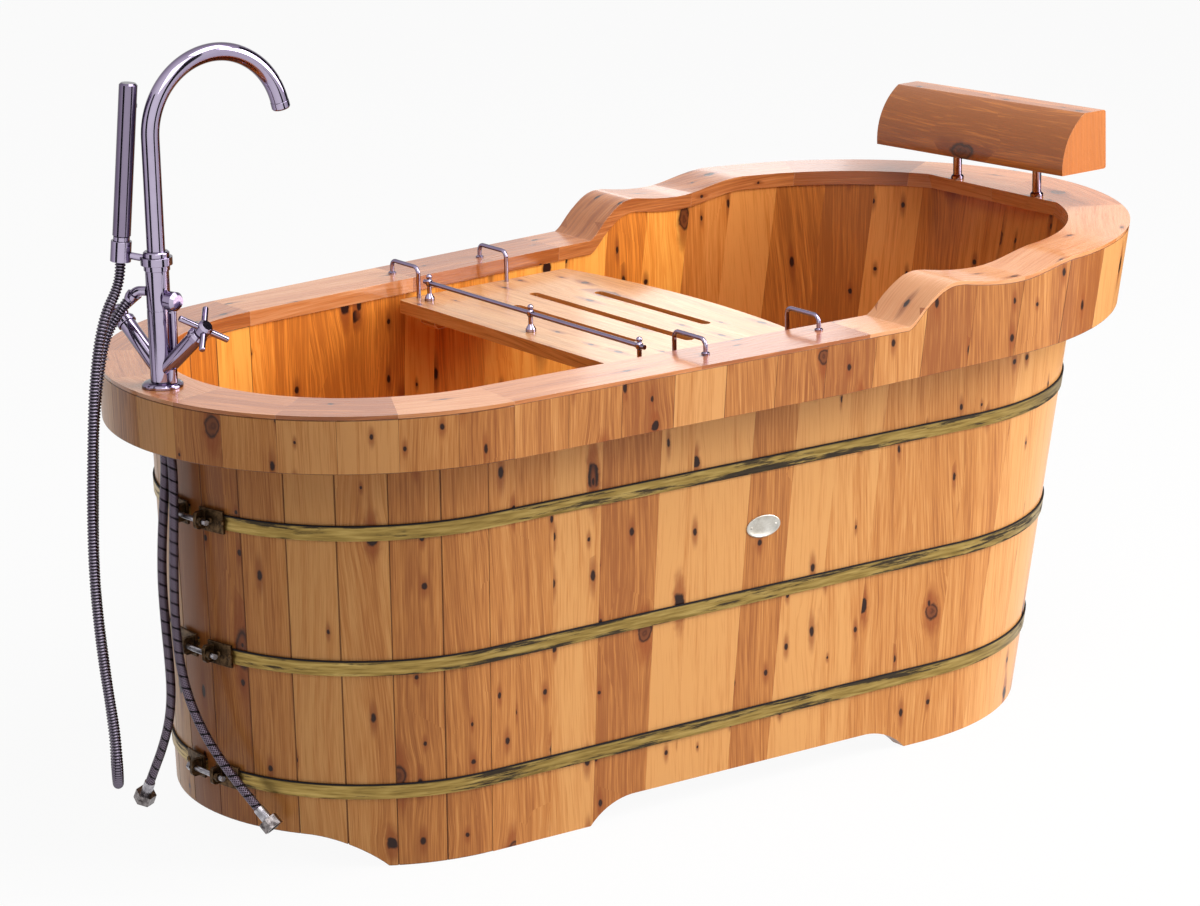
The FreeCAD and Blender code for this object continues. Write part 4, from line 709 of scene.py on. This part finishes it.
def grown(name, mesh, tree, numbers, finish):
    """Runs a tree on a mesh and keeps the result as a plain piece."""
    piece = stood(name, mesh)
    modifier = piece.modifiers.new(tree.name, "NODES")
    modifier.node_group = tree
    sockets = {item.name: item.identifier for item in tree.interface.items_tree
               if item.in_out == "INPUT"}
    for label, value in (*numbers.items(), ("Finish", finish_named(finish))):
        modifier[sockets[label]] = value
    return settled(piece)


def studs(name, places, ways, radius, rise, finish):
    """Domed heads at some places, each turned its own way."""
    points = bpy.data.meshes.new(name + "_points")
    points.from_pydata([tuple(place) for place in places], [], [])
    layer = points.attributes.new("way", "FLOAT_VECTOR", "POINT")
    layer.data.foreach_set("vector", [number for way in ways for number in way])
    return grown(name, points, stud_tree(), {"Radius": radius, "Rise": rise}, finish)


def hose_line(name, route):
    """The hose's middle line as a mesh of points, read from a spline whose control points are
    the route."""
    curve = bpy.data.curves.new(name, "CURVE")
    curve.dimensions = "3D"
    curve.resolution_u = 16
    spline = curve.splines.new("NURBS")
    spline.points.add(len(route) - 1)
    for point, place in zip(spline.points, route):
        point.co = (*place, 1.0)
    spline.order_u = 3
    spline.use_endpoint_u = True
    holder = stood(name, curve)
    mesh = result_of(holder)
    bpy.data.objects.remove(holder)
    return mesh


def hose_piece(name, route, numbers, finish):
    """A hose's piece, its path and its length."""
    line = hose_line(name + "_line", route)
    path = [tuple(v.co) for v in line.vertices]
    length = sum((Vector(b) - Vector(a)).length for a, b in zip(path, path[1:]))
    piece = grown(name, line, hose_tree(), numbers, finish)
    return piece, path, length


# Settings

class BathtubSettings(bpy.types.PropertyGroup):
    board_edge: bpy.props.FloatProperty(
        name="Board edge", description="Rounding of the boards' edges",
        default=0.0012, min=0.0, max=0.004, unit="LENGTH")
    tap_edge: bpy.props.FloatProperty(
        name="Tap edge", description="Rounding of the tap's edges",
        default=0.0004, min=0.0, max=0.002, unit="LENGTH")
    ring_pitch: bpy.props.FloatProperty(
        name="Hose ring pitch", description="From one ring to the next",
        default=0.0042, min=0.002, max=0.01, unit="LENGTH")
    ring_depth: bpy.props.FloatProperty(
        name="Hose ring depth", description="Depth of the grooves, as a share of the radius",
        default=0.26, min=0.0, max=0.5, subtype="FACTOR")
    badge_size: bpy.props.FloatVectorProperty(
        name="Oval plate", description="Width and height of the plate",
        size=2, default=(0.054, 0.030), unit="LENGTH")
    floor_colour: bpy.props.FloatVectorProperty(
        name="Floor colour", description="Colour of the plain floor",
        size=3, default=linear("#d6d3d0")[:3], subtype="COLOR", min=0.0, max=1.0)
    room_light: bpy.props.FloatProperty(
        name="Room light", description="Strength of the even light from all round",
        default=0.24, min=0.0, max=2.0)


# Pieces

class BATHTUB_OT_camera(bpy.types.Operator):
    """Sets the camera where the picture was taken from"""
    bl_idname = "bathtub.camera"
    bl_label = "Camera"

    def execute(self, context):
        yaw, pitch, roll = CAMERA_TURN
        ahead = Vector((math.sin(yaw) * math.cos(pitch), math.cos(yaw) * math.cos(pitch),
                        -math.sin(pitch)))
        side = ahead.cross(UP).normalized()
        rise = side.cross(ahead)
        right = side * math.cos(roll) + rise * math.sin(roll)
        up = rise * math.cos(roll) - side * math.sin(roll)
        data = bpy.data.cameras.new("Camera")
        data.sensor_width = 36.0
        data.lens = CAMERA_LENS
        data.clip_end = 200.0
        camera = stood("Camera", data)
        turn = Matrix((right, up, -ahead)).transposed().to_4x4()
        camera.matrix_world = Matrix.Translation(CAMERA_PLACE) @ turn
        context.scene.camera = camera
        return {"FINISHED"}


class BATHTUB_OT_shower_hose(bpy.types.Operator):
    """The ringed hose from the tap's outlet down and back up to the hand shower, with its nuts"""
    bl_idname = "bathtub.shower_hose"
    bl_label = "Shower hose"

    def execute(self, context):
        sizes = context.scene.bathtub
        numbers = {"Radius": SHOWER_HOSE / 2, "Pitch": sizes.ring_pitch,
                   "Depth": sizes.ring_depth, "Step": 0.0007}
        hose, path, length = hose_piece("shower_hose_ringed", SHOWER_ROUTE, numbers,
                                        "hose_chrome")
        upper = dress("wand_nut", CHROME, "hand_shower", sizes.tap_edge)
        lower = dress("outlet_nut", CHROME, "tub", sizes.tap_edge)
        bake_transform(hose)
        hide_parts("shower_hose")
        return {"FINISHED"}


class BATHTUB_OT_supply_hoses(bpy.types.Operator):
    """The two braided hoses that hang from the tap, with their ferrules and nuts"""
    bl_idname = "bathtub.supply_hoses"
    bl_label = "Supply hoses"

    def execute(self, context):
        edge = context.scene.bathtub.tap_edge
        ferrules = dress_each("supply_ferrules", "fixing_steel", edge)
        nuts = dress_each("supply_nuts", "nickel_plate", edge)
        numbers = {"Radius": SUPPLY_HOSE / 2, "Pitch": 0.004, "Depth": 0.0, "Step": 0.003}
        for side, route in SUPPLY_ROUTES.items():
            node = side + "_supply_hose"
            hose, path, length = hose_piece(node + "_braided", route, numbers,
                                            "braided_wire")
            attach(hose, "tub")
            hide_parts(node)
        return {"FINISHED"}


class BATHTUB_OT_staves(bpy.types.Operator):
    """The tapered staves of the wall and the boards and battens of the floor"""
    bl_idname = "bathtub.staves"
    bl_label = "Staves and floor"

    def execute(self, context):
        edge = context.scene.bathtub.board_edge
        for seed, side in enumerate(("near_side", "head_end", "far_side", "tap_end"), 11):
            # The head end's inside is painted darker, as shade
            finish = "cedar_head_staves" if side == "head_end" else "cedar_staves"
            dress(side + "_staves", finish, "tub", edge, "upright", seed)
        dress("floor_boards", "cedar_floor", "tub", edge, "lengthways", 21)
        dress("floor_battens", "cedar_floor", "tub", edge, "crossways", 22)
        return {"FINISHED"}


class BATHTUB_OT_rim(bpy.types.Operator):
    """The planks of the rim and the upright boards of the apron under it"""
    bl_idname = "bathtub.rim"
    bl_label = "Rim and apron"

    def execute(self, context):
        edge = context.scene.bathtub.board_edge
        dress("rim_boards", "cedar_rim", "tub", edge, "round", 31)
        for seed, side in enumerate(("near_side", "head_end", "far_side", "tap_end"), 41):
            dress(side + "_apron", "cedar_apron", "tub", edge, "upright", seed)
        return {"FINISHED"}


class BATHTUB_OT_hoops(bpy.types.Operator):
    """The three hoops, their draw clamps and the rivets that hold them"""
    bl_idname = "bathtub.hoops"
    bl_label = "Hoops and clamps"

    def execute(self, context):
        for node in ("upper_hoop", "middle_hoop", "lower_hoop"):
            hoop = dress(node, "aged_brass", "tub", HOOP_EDGE, crease=HOOP_CREASE).data
            heights = [vertex.co.z for vertex in hoop.vertices]
            low, high = min(heights), max(heights)
            layer = hoop.attributes.new("height", "FLOAT", "POINT")
            layer.data.foreach_set("value", [(z - low) / (high - low) for z in heights])
        for node, finish in (("clamp_plates", "dark_bronze"), ("clamp_bolts", "fixing_steel"),
                             ("clamp_nuts", "dark_bronze")):
            dress(node, finish, "tub", HOOP_EDGE, crease=HOOP_CREASE)
        source = cleaned("clamp_rivets", HOOP_CREASE)
        rivets = {}
        for polygon, owner in zip(source.polygons, islands(source)):
            rivets.setdefault(owner, set()).update(polygon.vertices)
        places, ways = [], []
        for members in rivets.values():
            corners = [source.vertices[i].co for i in members]
            middle = sum(corners, Vector()) / len(corners)
            way = outward(middle)
            foot = min(corner.dot(way) for corner in corners)
            places.append(middle + way * (foot - middle.dot(way)))
            ways.append(way)
        heads = studs("clamp_rivet_heads", places, ways, 0.0038, 0.55, "dark_bronze")
        stand_for(heads, "clamp_rivets", "tub")
        return {"FINISHED"}


class BATHTUB_OT_badge(bpy.types.Operator):
    """A bare oval plate with a raised edge, held to the near side by two pins"""
    bl_idname = "bathtub.badge"
    bl_label = "Oval plate"

    def execute(self, context):
        wide, high = context.scene.bathtub.badge_size
        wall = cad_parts["near_side_staves"].data
        shell = BVHTree.FromPolygons([v.co for v in wall.vertices],
                                     [p.vertices for p in wall.polygons])
        spot, face, _, _ = shell.ray_cast(Vector((-0.029, -0.60, 0.359)), Vector((0, 1, 0)))
        if spot is None:
            raise ValueError("the oval plate found no wall")
        side = UP.cross(face).normalized()
        rise = face.cross(side)
        work = bmesh.new()
        rings = []
        for share, depth in PLATE_STEPS:
            ring = []
            for i in range(PLATE_CORNERS):
                angle = math.tau * i / PLATE_CORNERS
                place = spot + side * (share * wide / 2 * math.cos(angle))
                place += rise * (share * high / 2 * math.sin(angle))
                ring.append(work.verts.new(place + face * depth))
            rings.append(ring)
        # The outer side of the plate's edge takes the dark bronze finish
        for step, (low, top) in enumerate(zip(rings, rings[1:])):
            for i in range(PLATE_CORNERS):
                j = (i + 1) % PLATE_CORNERS
                quad = work.faces.new((low[i], low[j], top[j], top[i]))
                quad.material_index = 1 if step < 2 else 0
        work.faces.new(rings[-1])
        work.faces.new(rings[0][::-1])
        bmesh.ops.recalc_face_normals(work, faces=work.faces)
        for polygon in work.faces:
            polygon.smooth = len(polygon.verts) == 4
        plate = put("oval_plate", mesh_from(work, "oval_plate"), "pressed_nickel")
        plate.data.materials.append(finish_named("dark_bronze"))
        places = [spot + side * (sign * 0.36 * wide) + face * 0.0012 for sign in (-1, 1)]
        pins = studs("oval_plate_pins", places, [face, face], 0.0016, 0.5, "pressed_nickel")
        for piece in (plate, pins):
            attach(piece, "tub")
        return {"FINISHED"}


class BATHTUB_OT_drain(bpy.types.Operator):
    """The waste with its seal and nut, and the plug that lifts"""
    bl_idname = "bathtub.drain"
    bl_label = "Drain and plug"

    def execute(self, context):
        edge = context.scene.bathtub.tap_edge
        for node in ("drain_waste", "drain_nut"):
            dress(node, CHROME, "tub", edge)
        dress("drain_seal", "seal_rubber", "tub", edge)
        dress("drain_plug", CHROME, "plug", edge)
        return {"FINISHED"}


class BATHTUB_OT_headrest(bpy.types.Operator):
    """The headrest block on its two posts, with their collars"""
    bl_idname = "bathtub.headrest"
    bl_label = "Headrest"

    def execute(self, context):
        sizes = context.scene.bathtub
        dress("headrest_block", "cedar_headrest", "tub", 2 * sizes.board_edge, "crossways", 52)
        for node in ("headrest_posts", "headrest_collars"):
            dress(node, CHROME, "tub", sizes.tap_edge)
        return {"FINISHED"}


class BATHTUB_OT_tray(bpy.types.Operator):
    """The bridge tray with its battens, hooks, feet, posts and rail"""
    bl_idname = "bathtub.tray"
    bl_label = "Bridge tray"

    def execute(self, context):
        sizes = context.scene.bathtub
        dress("tray_board", "cedar_tray", "tray", 1.5 * sizes.board_edge, "crossways", 61)
        dress("tray_battens", "cedar_tray", "tray", sizes.board_edge, "lengthways", 62)
        for node in ("tray_hooks", "hook_feet", "tray_rail_posts", "tray_rail"):
            dress(node, CHROME, "tray", sizes.tap_edge)
        return {"FINISHED"}


class BATHTUB_OT_tap(bpy.types.Operator):
    """The pillar mixer with its handles, knob, spout and the fixing below the rim"""
    bl_idname = "bathtub.tap"
    bl_label = "Mixer tap"

    def execute(self, context):
        edge = context.scene.bathtub.tap_edge
        for node in ("mixer_body", "tap_flange", "valve_bonnets", "hose_outlet", "spout_collar"):
            dress(node, CHROME, "tub", edge)
        for node in ("near_handle", "far_handle"):
            dress(node, CHROME, node, edge)
        dress("diverter_knob", CHROME, "diverter", edge)
        for node in ("spout", "aerator"):
            dress(node, CHROME, "spout", edge)
        for node in ("deck_stud", "deck_nut", "horseshoe_plate", "hose_tails"):
            dress(node, "fixing_steel", "tub", edge)
        return {"FINISHED"}


class BATHTUB_OT_hand_shower(bpy.types.Operator):
    """The wand, its spray plate and the bracket that holds it"""
    bl_idname = "bathtub.hand_shower"
    bl_label = "Hand shower"

    def execute(self, context):
        edge = context.scene.bathtub.tap_edge
        dress("shower_bracket", CHROME, "tub", edge)
        dress("wand", "wand_chrome", "hand_shower", edge)
        dress("wand_spray_plate", "spray_plastic", "hand_shower")
        return {"FINISHED"}


def white_to(tree):
    """1 for the rays that see the stage straight, in a mirror or through glass, else 0."""
    path = add(tree, "ShaderNodeLightPath").outputs
    mirrored = add(tree, MATH, (path["Is Glossy Ray"], path["Is Transmission Ray"]), "MAXIMUM")
    return add(tree, MATH, (path["Is Camera Ray"], mirrored), "MAXIMUM")


class BATHTUB_OT_stage(bpy.types.Operator):
    """A plain pale floor, soft lamps and even light from all round"""
    bl_idname = "bathtub.stage"
    bl_label = "Stage"

    def execute(self, context):
        sizes = context.scene.bathtub
        # The floor looks nearly white to the camera and to metal, and still keeps the shadow
        paint, tree, shader, new = start_finish("matt_floor_paint")
        feed(tree, shader, {"Base Color": (*sizes.floor_colour, 1.0), "Roughness": 0.8})
        share = new(MATH, (white_to(tree), 0.94), "MULTIPLY")
        glow = new("ShaderNodeEmission", {"Color": (1, 1, 1, 1), "Strength": 1.0})
        mixed = new("ShaderNodeMixShader", (share, shader, glow))
        feed(tree, tree.nodes["Material Output"], {"Surface": mixed})
        # Dark flags stand round the tap, seen only in reflections, and paint dark reflected
        # stripes down the chrome
        reflection_only_cloth, tree, shader, _ = start_finish("black_flag_reflection_only")
        feed(tree, shader, {"Base Color": linear("#0b0910"), "Roughness": 0.9})
        corners = [(-30, -30, 0), (30, -30, 0), (30, 30, 0), (-30, 30, 0)]
        sheets = [("Floor", corners, paint)]
        tap = Vector((-0.74, 0.0, 0.0))
        toward = (Vector((-3.06, -3.98, 0.0)) - tap).normalized()
        for name, turn, wide in FLAGS:
            middle = tap + Matrix.Rotation(math.radians(turn), 3, "Z") @ toward * FLAG_AWAY
            side = UP.cross(middle - tap).normalized() * wide
            low = [middle - side, middle + side]
            corners = [*low, *(corner + UP * FLAG_HEIGHT for corner in low[::-1])]
            sheets.append((name, [tuple(corner) for corner in corners], reflection_only_cloth))
        for name, corners, finish in sheets:
            mesh = bpy.data.meshes.new(name)
            mesh.from_pydata(corners, [], [(0, 1, 2, 3)])
            mesh.materials.append(finish)
            sheet = stood(name, mesh)
            if finish == reflection_only_cloth:
                # Only reflections see a flag: it paints dark stripes into the chrome
                sheet.visible_camera = sheet.visible_diffuse = sheet.visible_shadow = False

        for name, place, size, power in LAMPS:
            lamp = bpy.data.lights.new(name, "AREA")
            lamp.shape = "SQUARE"
            lamp.size = size
            lamp.energy = power
            aim = (Vector((0, 0, 0.35)) - Vector(place)).to_track_quat("-Z", "Y")
            stood(name, lamp).matrix_world = Matrix.Translation(place) @ aim.to_matrix().to_4x4()

        world = bpy.data.worlds.new("Room")
        context.scene.world = world
        world.use_nodes = True
        tree = world.node_tree
        strength = add(tree, RANGE, {"Value": white_to(tree), "To Min": sizes.room_light,
                                     "To Max": 1.0})
        feed(tree, tree.nodes["Background"], {"Color": (1, 1, 1, 1), "Strength": strength})
        context.scene.view_settings.view_transform = "Standard"
        return {"FINISHED"}


OPERATORS = (
    BATHTUB_OT_camera, BATHTUB_OT_shower_hose, BATHTUB_OT_supply_hoses, BATHTUB_OT_staves,
    BATHTUB_OT_rim, BATHTUB_OT_hoops, BATHTUB_OT_badge, BATHTUB_OT_drain, BATHTUB_OT_headrest,
    BATHTUB_OT_tray, BATHTUB_OT_tap, BATHTUB_OT_hand_shower, BATHTUB_OT_stage,
)


class BATHTUB_PT_panel(bpy.types.Panel):
    """Lists the bathtub's sizes and pieces"""
    bl_idname = "BATHTUB_PT_panel"
    bl_label = "Bathtub"
    bl_space_type = "VIEW_3D"
    bl_region_type = "UI"
    bl_category = "Bathtub"

    def draw(self, context):
        for name in BathtubSettings.__annotations__:
            self.layout.prop(context.scene.bathtub, name)
        for operator in OPERATORS:
            self.layout.operator(operator.bl_idname)


CLASSES = (BathtubSettings, *OPERATORS, BATHTUB_PT_panel)


def register():
    for item in CLASSES:
        bpy.utils.register_class(item)
    bpy.types.Scene.bathtub = bpy.props.PointerProperty(type=BathtubSettings)


def unregister():
    del bpy.types.Scene.bathtub
    for item in reversed(CLASSES):
        bpy.utils.unregister_class(item)


def main():
    register()
    for item in OPERATORS:
        getattr(bpy.ops.bathtub, item.bl_idname.partition(".")[2])()


if __name__ == "__main__":
    main()
